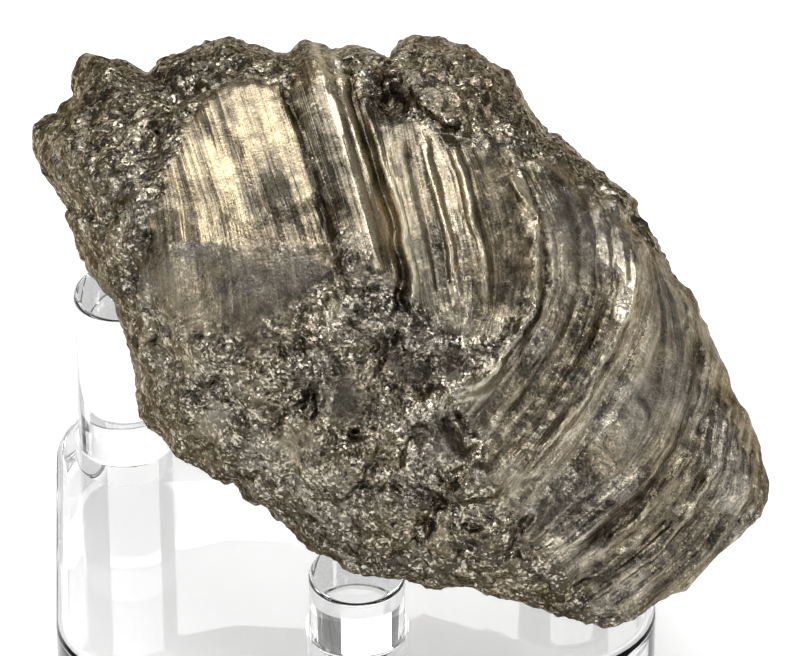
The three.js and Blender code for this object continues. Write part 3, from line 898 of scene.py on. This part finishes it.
def spot_sum(spots):
    """Soft round spots, each a place, a radius and an amount."""
    total = np.zeros(u.shape)
    for (pu, pv), radius, amount in spots:
        total += amount * np.exp(-((u - pu) ** 2 + (v - pv) ** 2) / radius**2)
    return total


def path_sum(paths):
    """Soft bands, each a path, a half width and an amount."""
    total = np.zeros(u.shape)
    for path, half, amount in paths:
        distance, _, fade = beside(path, u, v)
        total += amount * fade * np.exp(-((distance / half) ** 2))
    return total


print("neighbours of a vertex:", neighbours.min(), "to", neighbours.max())

# %% [markdown]
# The regions say how much each point is striated, crumbled or dull. Their borders are ragged on the
# stone, so the polygons are read at places that wander by half a millimetre. Small smooth cleavage
# faces lie among the crumble, and the first crescent has a flaky edge.

# %% Striated, crumbled and dull
CALM_SPOTS = [ # place, radius, amount
    ((-4.5, -6.1), 1.7, 1), ((-12.4, -0.4), 1.3, 0.8), ((0.8, -3.8), 1.3, 0.8),
    ((7, -5.4), 1.6, 0.9), ((-15.5, -8.2), 1.4, 0.7), ((3.6, -9.6), 1.5, 0.8),
    ((-8.5, -9.5), 1.3, 0.7), ((8.6, -12.5), 1.5, 0.7),
]
MATT_PATHS = [(TONGUE, 1.8, 1), (TAN_RIB, 0.8, 0.8)]
MATT_SPOTS = [((14.8, 7.2), 3.6, 1)]
FLAKY_BANDS = [(FLAKY_EDGE, 0.7, 0.9)]
RAGGED_BORDER = 0.45

ragged_u = u + RAGGED_BORDER * layered_noise(u / 2, v / 2, 0 * u, 3, seed=37)
ragged_v = v + RAGGED_BORDER * layered_noise(u / 2, v / 2, 0 * u, 3, seed=38)
fan = region(FAN, 0.5, ragged_u, ragged_v)
grey_plane = region(GREY_PLANE, 1.2, ragged_u, ragged_v) * (1 - fan)
folds = region(FOLDS, 0.8, ragged_u, ragged_v) * (1 - fan)
plates = region(PLATES, 0.8, ragged_u, ragged_v) * (1 - folds)
smooth_grey = region(SMOOTH_GREY, 1, ragged_u, ragged_v)
calm_faces = spot_sum(CALM_SPOTS)
matt = path_sum(MATT_PATHS) + spot_sum(MATT_SPOTS)

striated = np.clip(0.75 * fan + 0.3 * grey_plane + 0.9 * folds + 0.65 * plates, 0, 1)
striated *= 1 - 0.6 * np.clip(matt, 0, 1)
whole_plates = (0.76 + 0.16 * smooth_grey) * plates
crumbled = np.clip(1 - 0.85 * fan - 0.9 * grey_plane - 0.8 * folds - whole_plates, 0, 1)
crumbled *= 1 - np.clip(calm_faces, 0, 1)
crumbled = np.clip(crumbled + path_sum(FLAKY_BANDS), 0, 1)
dull = np.clip(matt + 0.6 * grey_plane + 0.8 * smooth_grey + 0.7 * calm_faces, 0, 1)
print("striated", round(float(striated.mean()), 2), "and crumbled", round(float(crumbled.mean()), 2))

# %% [markdown]
# Striations are the fine parallel grooves of a cleaved plate. Lines could be cut one by one, but
# noise of three finenesses, quick across the grain and slow along it, gives them all at once. The
# nested plates also have thin layers that end in small worn steps, so a sawtooth runs across there.

# %% Striations and thin layers
LAYER_WIDTH = 1.5 # the nested plates end in a small step about this often, in mm
ALONG = 0.16 # how slowly striations change along the grain

grain = grain_number(u, v)
slow = (u * ALONG, v * ALONG)
striae = (
    0.55 * noise(grain * 1.1, *slow, seed=20)
    + 0.3 * noise(grain * 2.6, *slow, seed=21)
    + 0.22 * noise(grain * 5.5, *slow, seed=22)
)
layers = grain / LAYER_WIDTH + 0.2 * noise(u / 5, v / 5, 0 * u, seed=25)
layer = np.floor(layers)
edge_height = 0.25 + 0.75 * scatter(layer, seed=26)
overlaps = edge_height * (layers - layer - 0.5)
print("thin layers:", int(layer.max() - layer.min()))

# %% [markdown]
# Crumbled graphite is a heap of broken facets of every size, so three sizes are folded over each
# other: about 3 mm, 1.3 mm and 0.6 mm. Smaller ones are left to the finish, where they cost no
# faces. Gentle waves keep the plates from looking machined.

# %% Facets and waves
FACET_SIZES = (2.8, 1.3, 0.6) # mm

waves = 0.5 * layered_noise(u / 4, v / 4, side, 2, seed=30)
coarse, middling, fine = (
    crumple((u, v, side), size, seed=seed) for size, seed in zip(FACET_SIZES, (40, 50, 60))
)
facets = 0.2 * coarse + 0.26 * middling + 0.2 * fine
print("facets from", round(facets.min(), 2), "to", round(facets.max(), 2), "mm")

# %% [markdown]
# All relief is added up. The forms come first, read at places that wander, so that no edge runs
# dead straight, and they are softened as if worn. Striations, waves and facets go on top unsoftened,
# each as strong as the regions say.

# %% Relief of the face
FORM_WANDER = 2.2 # mm, the length of the wandering

face = face_depth(u, v)
wander = 0.08 + 0.5 * crumbled
formed_u = u + wander * layered_noise(u / FORM_WANDER, v / FORM_WANDER, 0 * u, 2, seed=35)
formed_v = v + wander * layered_noise(u / FORM_WANDER, v / FORM_WANDER, 0 * u, 2, seed=36)
face_relief = relief(FACE_RIDGES, FACE_GROOVES, FACE_LEDGES, FACE_LUMPS, formed_u, formed_v)
face_relief += (0.8 * plates + 0.15 * folds) * overlaps
face_relief = soften(face_relief * on_face, 2)
face_relief += 0.34 * striated * striae + (0.2 + 0.3 * crumbled) * waves
face_relief += (0.08 + 0.92 * crumbled) * facets
print("relief of the face from", round(face_relief.min(), 2), "to", round(face_relief.max(), 2), "mm")

# %% [markdown]
# The underside is rough all over. It takes the same waves and facets, stronger than on the face,
# because nothing there has cleaved smooth.

# %% Relief of the underside
underside = underside_depth(u, v)
under_relief = relief(UNDERSIDE_RIDGES, UNDERSIDE_GROOVES, UNDERSIDE_LEDGES, UNDERSIDE_LUMPS, u, v)
under_relief += 0.7 * waves + 1.2 * facets
print("relief of the underside up to", round(under_relief.max(), 2), "mm")

# %% [markdown]
# The depth of a vertex depends on where it sits. On the face it lies between the front edge of the
# rim and the full height of the broken planes, and it reaches that height soon, so that the stone
# has shoulders and no slope. The underside is the same from the other side, and the rim joins the
# two. The relief fades out at the very edge, where it would tear the outline.

# %% Depth of every vertex
FACE_SHOULDER = 9 # the higher, the closer to the rim the face reaches its full height
UNDERSIDE_SHOULDER = 8
SHOULDER_BEND = 0.55

rim = rim_depth(u, v)
inner = 1 - smooth_step(0.96, 1, r)
front_edge, back_edge = rim + RIM_HALF, rim - RIM_HALF
swell = (1 - r**FACE_SHOULDER) ** SHOULDER_BEND
thick = np.clip(back_edge - underside, 0, None)
w = rim + RIM_HALF * side
w = np.where(on_face, front_edge + (face - front_edge) * swell + face_relief * inner, w)
w = np.where(
    on_underside,
    back_edge - thick * np.sqrt(1 - r**UNDERSIDE_SHOULDER) - under_relief * inner,
    w,
)
spread = 1 - w / TAPER
points = STONE_MIDDLE + np.outer(u * spread, right) + np.outer(v * spread, up) + np.outer(w, outwards)
print("depth from", round(w.min(), 1), "to", round(w.max(), 1), "mm")

# %% [markdown]
# The stone's sides are steep, and relief that only changes the depth would smear down them. So the
# vertices are placed once, their normals are read, and the steep places are crumbled along those
# normals. Last, the stone gets small worn flats over its pegs and is kept inside the frame's solid.

# %% Helpers for placing the vertices
PEG_RADIUS = 4
REST_MARGIN = 1.6
REST_GAP = 0.3 # the air between the stone and a peg


def clear_pegs(points):
    """Worn flats where the stone sits on its pegs, and nothing outside the frame's own solid."""
    for px, py, top in peg_tops:
        near = np.hypot(points[:, 0] - px, points[:, 1] - py) < PEG_RADIUS + REST_MARGIN
        points[:, 2] = np.where(near, np.maximum(points[:, 2], top + REST_GAP), points[:, 2])
    stone_low, stone_high = (np.array(corner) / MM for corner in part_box("graphite"))
    return np.clip(points, stone_low, stone_high)


def place(points):
    """Put every vertex of the stone at its point."""
    stone.data.vertices.foreach_set("co", (points * MM).ravel())
    stone.data.update()


def read_normals():
    """The stone's outward normal at each vertex."""
    found = np.empty(len(stone.data.vertices) * 3)
    stone.data.vertex_normals.foreach_get("vector", found)
    return found.reshape(-1, 3)


place(points)
normals = read_normals()
print("normals read:", len(normals))

# %% [markdown]
# A place counts as steep when its normal turns away from the face. The facets there have nearly the
# same three sizes, but they are folded in space, so that they look alike from every side.

# %% Crumbled sides
steep = (1 - smooth_step(0.4, 0.85, abs(normals @ outwards))) * smooth_step(0.74, 0.86, r)
walls = np.clip(steep + smooth_step(0.97, 1, r), 0, 1) * (0.25 + 0.75 * crumbled)
rough = 0.2 * crumple(points.T, 2.8, seed=70) + 0.26 * crumple(points.T, 1.2, seed=80)
rough += 0.2 * crumple(points.T, 0.6, seed=85) + 0.12 * layered_noise(*(points.T / 4), 2, seed=90)
rough *= 1 - 0.45 * smooth_step(0.92, 0.99, r)
points = points + normals * (rough * walls)[:, None]
points = clear_pegs(points)
place(points)
print("stone:", len(points), "vertices,", "walls cover", round(float(walls.mean()), 2))

# %% [markdown]
# The photograph has brighter and darker places that no region explains: the bright streaks of the
# fan, the flash on the second crescent, the dark band beside the fold. Most are painted light:
# painted highlights on the fan's streaks, crests, ribs and crescent edges, and painted shade along
# the crevice, beside the fold and in the pits, with some of the stone's own tone. A picture laid
# over the stone would only fit this one view, so they are set as bands and spots, like the forms.

# %% Painted highlights, painted shade and tone
# Painted highlights on the fan's streaks, the crests, the ribs and the crescent edges.
PAINTED_HIGHLIGHT_LINES = [ # path, half width, amount
    ([(-16.3, 15.6), (-15.6, 14), (-14.6, 11.8), (-13.4, 9), (-12.5, 7)], 1.1, 0.38),
    ([(-13.4, 17), (-12.9, 14.4), (-12, 10.4)], 0.6, 0.3),
    ([(-11.6, 18.6), (-10, 15.5), (-8.3, 12.1), (-6.7, 7.8)], 0.7, 0.3),
    (FINGER_CREST, 0.35, 0.9), (THIN_CREST, 0.3, 0.8), (SECOND_RIB, 0.4, 0.8),
    (TAN_RIB, 0.7, 0.3), (THIRD_RIB, 0.35, 0.6), (FOURTH_RIB, 0.35, 0.7),
    ([(18.5, 5.4), (18.6, 2.9), (17.9, 0.2)], 0.7, 1.1),
    (CRESCENT_ONE, 0.5, 0.3), (FLAKY_EDGE, 0.5, 0.2),
    ([(12.4, -9.8), (15, -6.8), (17, -3.6)], 0.5, 0.5),
]
# Painted shade along the crevice, the dark band and the fold's side, with some darker tone of the stone.
DARK_TONE_AND_SHADE_LINES = [
    ([(-11.6, 14.2), (-10.8, 12), (-9.6, 8), (-9.2, 6.4)], 1.2, 0.3),
    (DARK_BAND, 0.5, 0.3), (FINGER_SIDE, 0.2, 0.5),
    ([(-9, 23.5), (-8.2, 20.5), (-6.4, 15), (-5, 8)], 1.1, 0.35),
    (TONGUE, 1.5, 0.1), (CREVICE, 0.25, 0.9),
]
# Painted highlights at the small strong spots, and lighter tone of the stone at the broad ones.
HIGHLIGHT_AND_TONE_SPOTS = [ # place, radius, amount
    ((-12, 18), 2.4, 0.1), ((3, 10), 4.5, 0.12), ((-16, 9), 3, 0.15), ((3.8, -5.7), 1.5, 0.6),
    ((-11, 3.6), 3.6, 0.26), ((-16.5, 2), 3, 0.1), ((15, 6.5), 3.8, 0.3), ((9, 7), 3, 0.12),
    ((-5.6, 0.6), 1.2, 0.9), ((5, -5.5), 1.3, 0.3), ((5, 19.5), 4.5, 0.14),
    ((-1.5, -9), 1.6, 0.4), ((-3.4, 7.5), 1.6, 0.35), ((17, 5.5), 3, 0.2),
]
# Painted shade in the two pits and beside the second crescent, with some darker tone of the stone elsewhere.
SHADE_AND_TONE_SPOTS = [
    ((2, -4.4), 1.6, 0.35), ((-1, 17.8), 2, 0.5), ((-22, 19), 3, 0.1), ((-20.5, 5.5), 2, 0.25),
    ((17.4, 4), 0.8, 0.5), ((-18.6, 11), 2.2, 0.2), ((20, -15.5), 4.5, 0.2), ((21, -4), 4, 0.06),
    ((-15, 21.5), 3.5, 0.2), ((-8.8, 9.3), 3.4, 0.26),
]
WARM_SPOTS = [((5, 20), 5, 0.5), ((-24, 16), 5, 0.3)]

# Painted highlights and painted shade, mixed with some of the stone's own tone.
painted_light_and_tone = spot_sum(HIGHLIGHT_AND_TONE_SPOTS) - spot_sum(SHADE_AND_TONE_SPOTS) + path_sum(PAINTED_HIGHLIGHT_LINES) - path_sum(DARK_TONE_AND_SHADE_LINES)
# Painted highlights along the raised edges of the thin layers, where they catch the light.
layer_edge_highlight = smooth_step(0.7, 1, layers - layer) * scatter(layer, seed=27) ** 2 # the edge of a thin layer
painted_light_and_tone += layer_edge_highlight * plates * (0.25 + 0.35 * noise(u / 2.5, v / 2.5, 0 * u, seed=28))
painted_light_and_tone += 0.16 * np.clip(calm_faces, 0, 1)
# Towards the rim all of it is made darker, and at the very edge it fades out.
painted_light_and_tone = painted_light_and_tone * (1 - smooth_step(0.985, 1, r)) - 0.1 * smooth_step(0.82, 0.97, r)
warm = 0.15 + fan + 0.4 * folds + 0.1 * plates + spot_sum(WARM_SPOTS)
print("brightness from", round(painted_light_and_tone.min(), 2), "to", round(painted_light_and_tone.max(), 2))

# %% [markdown]
# The finish needs to know the grain, the regions, the painted highlights and shade, and how deep a
# point lies in a cleft, which is darkened as painted shade. Pictures laid over the stone would need
# seams, so each value is kept as an attribute of the mesh, one number for each vertex, which the
# material reads by name. Most have one value all over the underside.

# %% Attributes for the finish
CLEFT = 1.2 # a groove this deep, in mm, counts as fully hollow


def keep(name, values):
    """Store one number for each vertex under a name."""
    attribute = stone.data.attributes.new(name, "FLOAT", "POINT")
    attribute.data.foreach_set("value", values.astype(np.float32))


# Painted shade: the deeper a cleft, the darker it is made.
cleft_shade = -np.clip(relief([], FACE_GROOVES, [], [], formed_u, formed_v), -CLEFT, 0) / CLEFT
keep("grain", grain)
keep("striated", np.where(on_underside, 0.3, striated))
keep("crumbled", np.where(on_underside, 0.8, crumbled))
# painted highlights and painted shade, with some of the stone's own tone
keep("painted_light_and_tone", np.where(on_underside, -0.15, painted_light_and_tone))
keep("gold", np.where(on_underside, 0.2, np.clip(warm, 0, 1)))
keep("cleft_shade", np.where(on_face, cleft_shade, 0))
keep("dull", np.where(on_underside, 0, dull))
print("attributes:", [a.name for a in stone.data.attributes if a.domain == "POINT"])

# %% [markdown]
# The face needs every cell, while the underside can do with fewer, and a piece should stay under
# 200,000 triangles. A coarser grid would blunt the face too, so a Decimate modifier thins the
# underside alone, through a vertex group.

# %% Thin the underside
THINNED = 0.3 # the share of triangles that stays
UNDERSIDE_SHARE = 0.97 # how far out the thinning goes

group = stone.vertex_groups.new(name="underside")
group.add(np.flatnonzero(on_underside & (r < UNDERSIDE_SHARE)).tolist(), 1.0, "REPLACE")
thinning = stone.modifiers.new("thinning", "DECIMATE")
thinning.vertex_group = group.name
thinning.ratio = THINNED
deselect_all()
bpy.context.view_layer.objects.active = stone
stone.select_set(True)
bpy.ops.object.modifier_apply(modifier=thinning.name)
stone.vertex_groups.clear()
bpy.ops.object.shade_smooth()
print("stone after thinning:", sum(len(p.vertices) - 2 for p in stone.data.polygons), "triangles")

# %% [markdown]
# Graphite is soft, opaque and metallic: a dark warm grey whose cleavage faces flash almost white. A
# plain dark stone shader would look like coal, so this is a metal whose colour and roughness change
# along the grain and from flake to flake. The first helpers add nodes and link them in one line.

# %% Graphite
graphite, tree, shader = new_material("graphite")


def feed(node, socket, value):
    """Link another node's output to an input, or set a plain value there."""
    if isinstance(value, bpy.types.NodeSocket):
        tree.links.new(value, node.inputs[socket])
    else:
        node.inputs[socket].default_value = value


def add(kind, values, **settings):
    """A node with its settings, and with plain values or links for its inputs."""
    made = tree.nodes.new(kind)
    for name, value in settings.items():
        setattr(made, name, value)
    for socket, value in values.items():
        feed(made, socket, value)
    return made


def maths(operation, first, second=0.0, clamp=False):
    node = add("ShaderNodeMath", {0: first, 1: second}, operation=operation, use_clamp=clamp)
    return node.outputs[0]


def attribute(name):
    return add("ShaderNodeAttribute", {}, attribute_name=name).outputs["Fac"]


def mix_colours(share, first, second):
    return add("ShaderNodeMix", {0: share, 6: first, 7: second}, data_type="RGBA").outputs[2]


def spread_range(value, low, high, to_low=0.0, to_high=1.0):
    """A value between low and high, stretched to run between two others."""
    node = add("ShaderNodeMapRange", {0: value, 1: low, 2: high, 3: to_low, 4: to_high})
    return node.outputs[0]


def mottle(where, scale, detail, roughness=0.5):
    """Soft random shading, and a soft random colour, at a place."""
    values = {"Vector": where, "Scale": scale, "Detail": detail, "Roughness": roughness}
    return add("ShaderNodeTexNoise", values)


def flakes(where, scale):
    """Random flakes with sharp borders, each with a colour of its own."""
    return add("ShaderNodeTexVoronoi", {"Vector": where, "Scale": scale})


print("graphite starts with", len(tree.nodes), "nodes")

# %% [markdown]
# The patterns come next. Striations are noise on the grain attribute, so they bend with the plates.
# Broken faces and flakes are Voronoi cells in three sizes, and the two larger are bent so that no
# border is straight. The tiny ones gather in clusters, as they do on the stone.

# %% Patterns of the graphite
PER_METRE = 1000 # object coordinates are metres, so patterns are scaled by this for mm
LARGE_FLAKES = 0.95 # cells for each mm
SMALL_FLAKES = 1.9
TINY_FLAKES = 4.4
BENDING = 1.8 # mm

on_stone = add("ShaderNodeTexCoord", {}).outputs["Object"]
to_mm = add("ShaderNodeVectorMath", {0: on_stone, 1: (PER_METRE,) * 3}, operation="MULTIPLY")
place_in_mm = to_mm.outputs[0]
split = add("ShaderNodeSeparateXYZ", {0: place_in_mm})
grain_value = attribute("grain")


def along_grain(across, slow_scale):
    """A place that changes fast across the grain and slowly along it."""
    return add("ShaderNodeCombineXYZ", {
        0: maths("MULTIPLY", grain_value, across),
        1: maths("MULTIPLY", split.outputs[0], slow_scale),
        2: maths("MULTIPLY", split.outputs[2], slow_scale),
    }).outputs[0]


broad_streaks = mottle(along_grain(1.3, 0.14), 1.0, 3.0)
fine_streaks = mottle(along_grain(5.0, 0.35), 1.0, 3.0)
patches = mottle(place_in_mm, 0.35, 5.0)
specks = mottle(place_in_mm, 4.0, 4.0)
grit = mottle(place_in_mm, 7.0, 2.0)
clusters = mottle(place_in_mm, 0.55, 4.0, roughness=0.6)
gathered = spread_range(clusters.outputs["Fac"], 0.42, 0.6, 0.25, 1)
clustered = maths("MULTIPLY", attribute("crumbled"), gathered)
bend = mottle(place_in_mm, 0.9, 3.0).outputs["Color"]
bent = add("ShaderNodeVectorMath", {0: bend, 1: (BENDING,) * 3, 2: place_in_mm}, operation="MULTIPLY_ADD")
large_flakes = flakes(bent.outputs[0], LARGE_FLAKES)
small_flakes = flakes(bent.outputs[0], SMALL_FLAKES)
tiny_flakes = flakes(place_in_mm, TINY_FLAKES)
large_shade, small_shade, tiny_shade = (
    add("ShaderNodeSeparateColor", {0: size.outputs["Color"]})
    for size in (large_flakes, small_flakes, tiny_flakes)
)
print("patterns made:", len(tree.nodes), "nodes")

# %% [markdown]
# The tone says how bright a point is, from 0 to 1. Streaks rule it on the striated parts and flakes
# on the crumbled ones. The flakes are raised to a power, so that most stay dark and a few carry a
# painted glint. The listed bright and dark places shift both with painted highlights, painted shade
# and some tone of the stone, and clefts get painted shade.

# %% Tone of the graphite
FLAKE_POWER = 4
FLAKE_GAIN = 3.4
STREAK_GAIN = 0.92

streak_shade = maths("ADD", maths("MULTIPLY", broad_streaks.outputs["Fac"], 0.6),
                     maths("MULTIPLY", fine_streaks.outputs["Fac"], 0.4))
flake_shade = maths("ADD", maths("MULTIPLY", small_shade.outputs[0], 0.35),
                    maths("MULTIPLY", tiny_shade.outputs[1], 0.65))
streak_tone = spread_range(streak_shade, 0.38, 0.64, 0.0, STREAK_GAIN)
# Painted glints: a few flakes are made pale, as if they caught the light.
painted_flake_glints = maths("MULTIPLY", maths("POWER", flake_shade, FLAKE_POWER), FLAKE_GAIN)
facet_tone = spread_range(large_shade.outputs[0], 0, 1, -0.14, 0.14)
tone = maths("ADD", maths("MULTIPLY", streak_tone, attribute("striated")),
             maths("MULTIPLY", painted_flake_glints, clustered))
for shift in (
    # painted highlights and painted shade, with some of the stone's own tone
    maths("MULTIPLY", attribute("painted_light_and_tone"), 0.8),
    spread_range(patches.outputs["Fac"], 0.3, 0.7, -0.13, 0.26),
    maths("MULTIPLY", attribute("dull"), 0.05),
    maths("MULTIPLY", attribute("crumbled"), facet_tone),
    spread_range(grit.outputs["Fac"], 0.3, 0.7, -0.12, 0.12),
):
    tone = maths("ADD", tone, shift)
# Painted shade in the clefts, darker the deeper they are.
tone = maths("SUBTRACT", tone, maths("MULTIPLY", attribute("cleft_shade"), 0.25), clamp=True)
print("tone done:", len(tree.nodes), "nodes")

# %% [markdown]
# The tone then runs from near black over a brown or slate grey to a pale silver, and where the stone
# is golden, as on the fan, the pale end is gold. A metal's edges turn white where they are seen at a
# grazing angle. Graphite's broken sides stay dark there, so the tint of that reflection is lowered.

# %% Colour of the graphite
BLACK = (0.066, 0.057, 0.042, 1)
BROWN = (0.262, 0.22, 0.155, 1)
SLATE = (0.24, 0.222, 0.188, 1)
# The pale end carries the painted glints and highlights as well as the lightest tone.
PALE = (0.65, 0.605, 0.51, 1)
GOLD = (0.58, 0.48, 0.31, 1)
GRAZING = (0.5, 0.45, 0.38, 1)

hue = mottle(place_in_mm, 0.16, 3.0)
greyness = maths("MULTIPLY", spread_range(hue.outputs["Fac"], 0.42, 0.58),
                 maths("SUBTRACT", 1.0, maths("MULTIPLY", attribute("gold"), 0.7)))
middle = mix_colours(greyness, BROWN, SLATE)
darker = mix_colours(spread_range(tone, 0, 0.4), BLACK, middle)
pale = mix_colours(attribute("gold"), PALE, GOLD)
colour = mix_colours(spread_range(tone, 0.4, 1.0), darker, pale)
tree.links.new(colour, shader.inputs["Base Color"])
shader.inputs["Metallic"].default_value = 1.0
shader.inputs["Specular Tint"].default_value = GRAZING
print("colour done:", len(tree.nodes), "nodes")

# %% [markdown]
# Each flake lies at its own angle, so a few catch the light and their neighbours don't. Modelling
# them all would take millions of faces. Instead every tiny flake tips the normal a little and every
# large one leans it, and a fine bump adds the smallest striations. Dull places are rougher.

# %% Gloss and relief of the graphite
TIP = 0.6 # how far a tiny flake tips the normal
LEAN = 0.5 # how far a large one leans it
BUMP_HEIGHT = 0.16 * MM
BUMP_STRENGTH = 0.7


def push(normal, pattern, amount):
    """A normal pushed aside by each flake's own colour, read as a direction."""
    centred = add("ShaderNodeVectorMath", {0: pattern.outputs["Color"], 1: (0.5,) * 3}, operation="SUBTRACT")
    scaled = add("ShaderNodeVectorMath", {0: centred.outputs[0], "Scale": amount}, operation="SCALE")
    return add("ShaderNodeVectorMath", {0: normal, 1: scaled.outputs[0]}, operation="ADD").outputs[0]


roughness = maths("ADD", spread_range(specks.outputs["Fac"], 0.3, 0.7, 0.16, 0.36),
                  maths("MULTIPLY", tiny_shade.outputs[2], 0.12))
roughness = maths("ADD", roughness, maths("MULTIPLY", attribute("dull"), 0.2))
tree.links.new(roughness, shader.inputs["Roughness"])

normal = add("ShaderNodeNewGeometry", {}).outputs["Normal"]
normal = push(normal, tiny_flakes, maths("MULTIPLY", clustered, TIP))
normal = push(normal, large_flakes, maths("MULTIPLY", attribute("crumbled"), LEAN))
normal = add("ShaderNodeVectorMath", {0: normal}, operation="NORMALIZE").outputs[0]
grooves = add("ShaderNodeBump", {
    "Strength": BUMP_STRENGTH,
    "Distance": BUMP_HEIGHT,
    "Height": maths("ADD", maths("MULTIPLY", fine_streaks.outputs["Fac"], attribute("striated")),
                    maths("MULTIPLY", specks.outputs["Fac"], 0.5)),
    "Normal": normal,
})
tree.links.new(grooves.outputs[0], shader.inputs["Normal"])
finish_piece(stone, "graphite", graphite)

# %% [markdown]
# Last, the scene is brought up to date.

# %% Update the scene
bpy.context.view_layer.update()
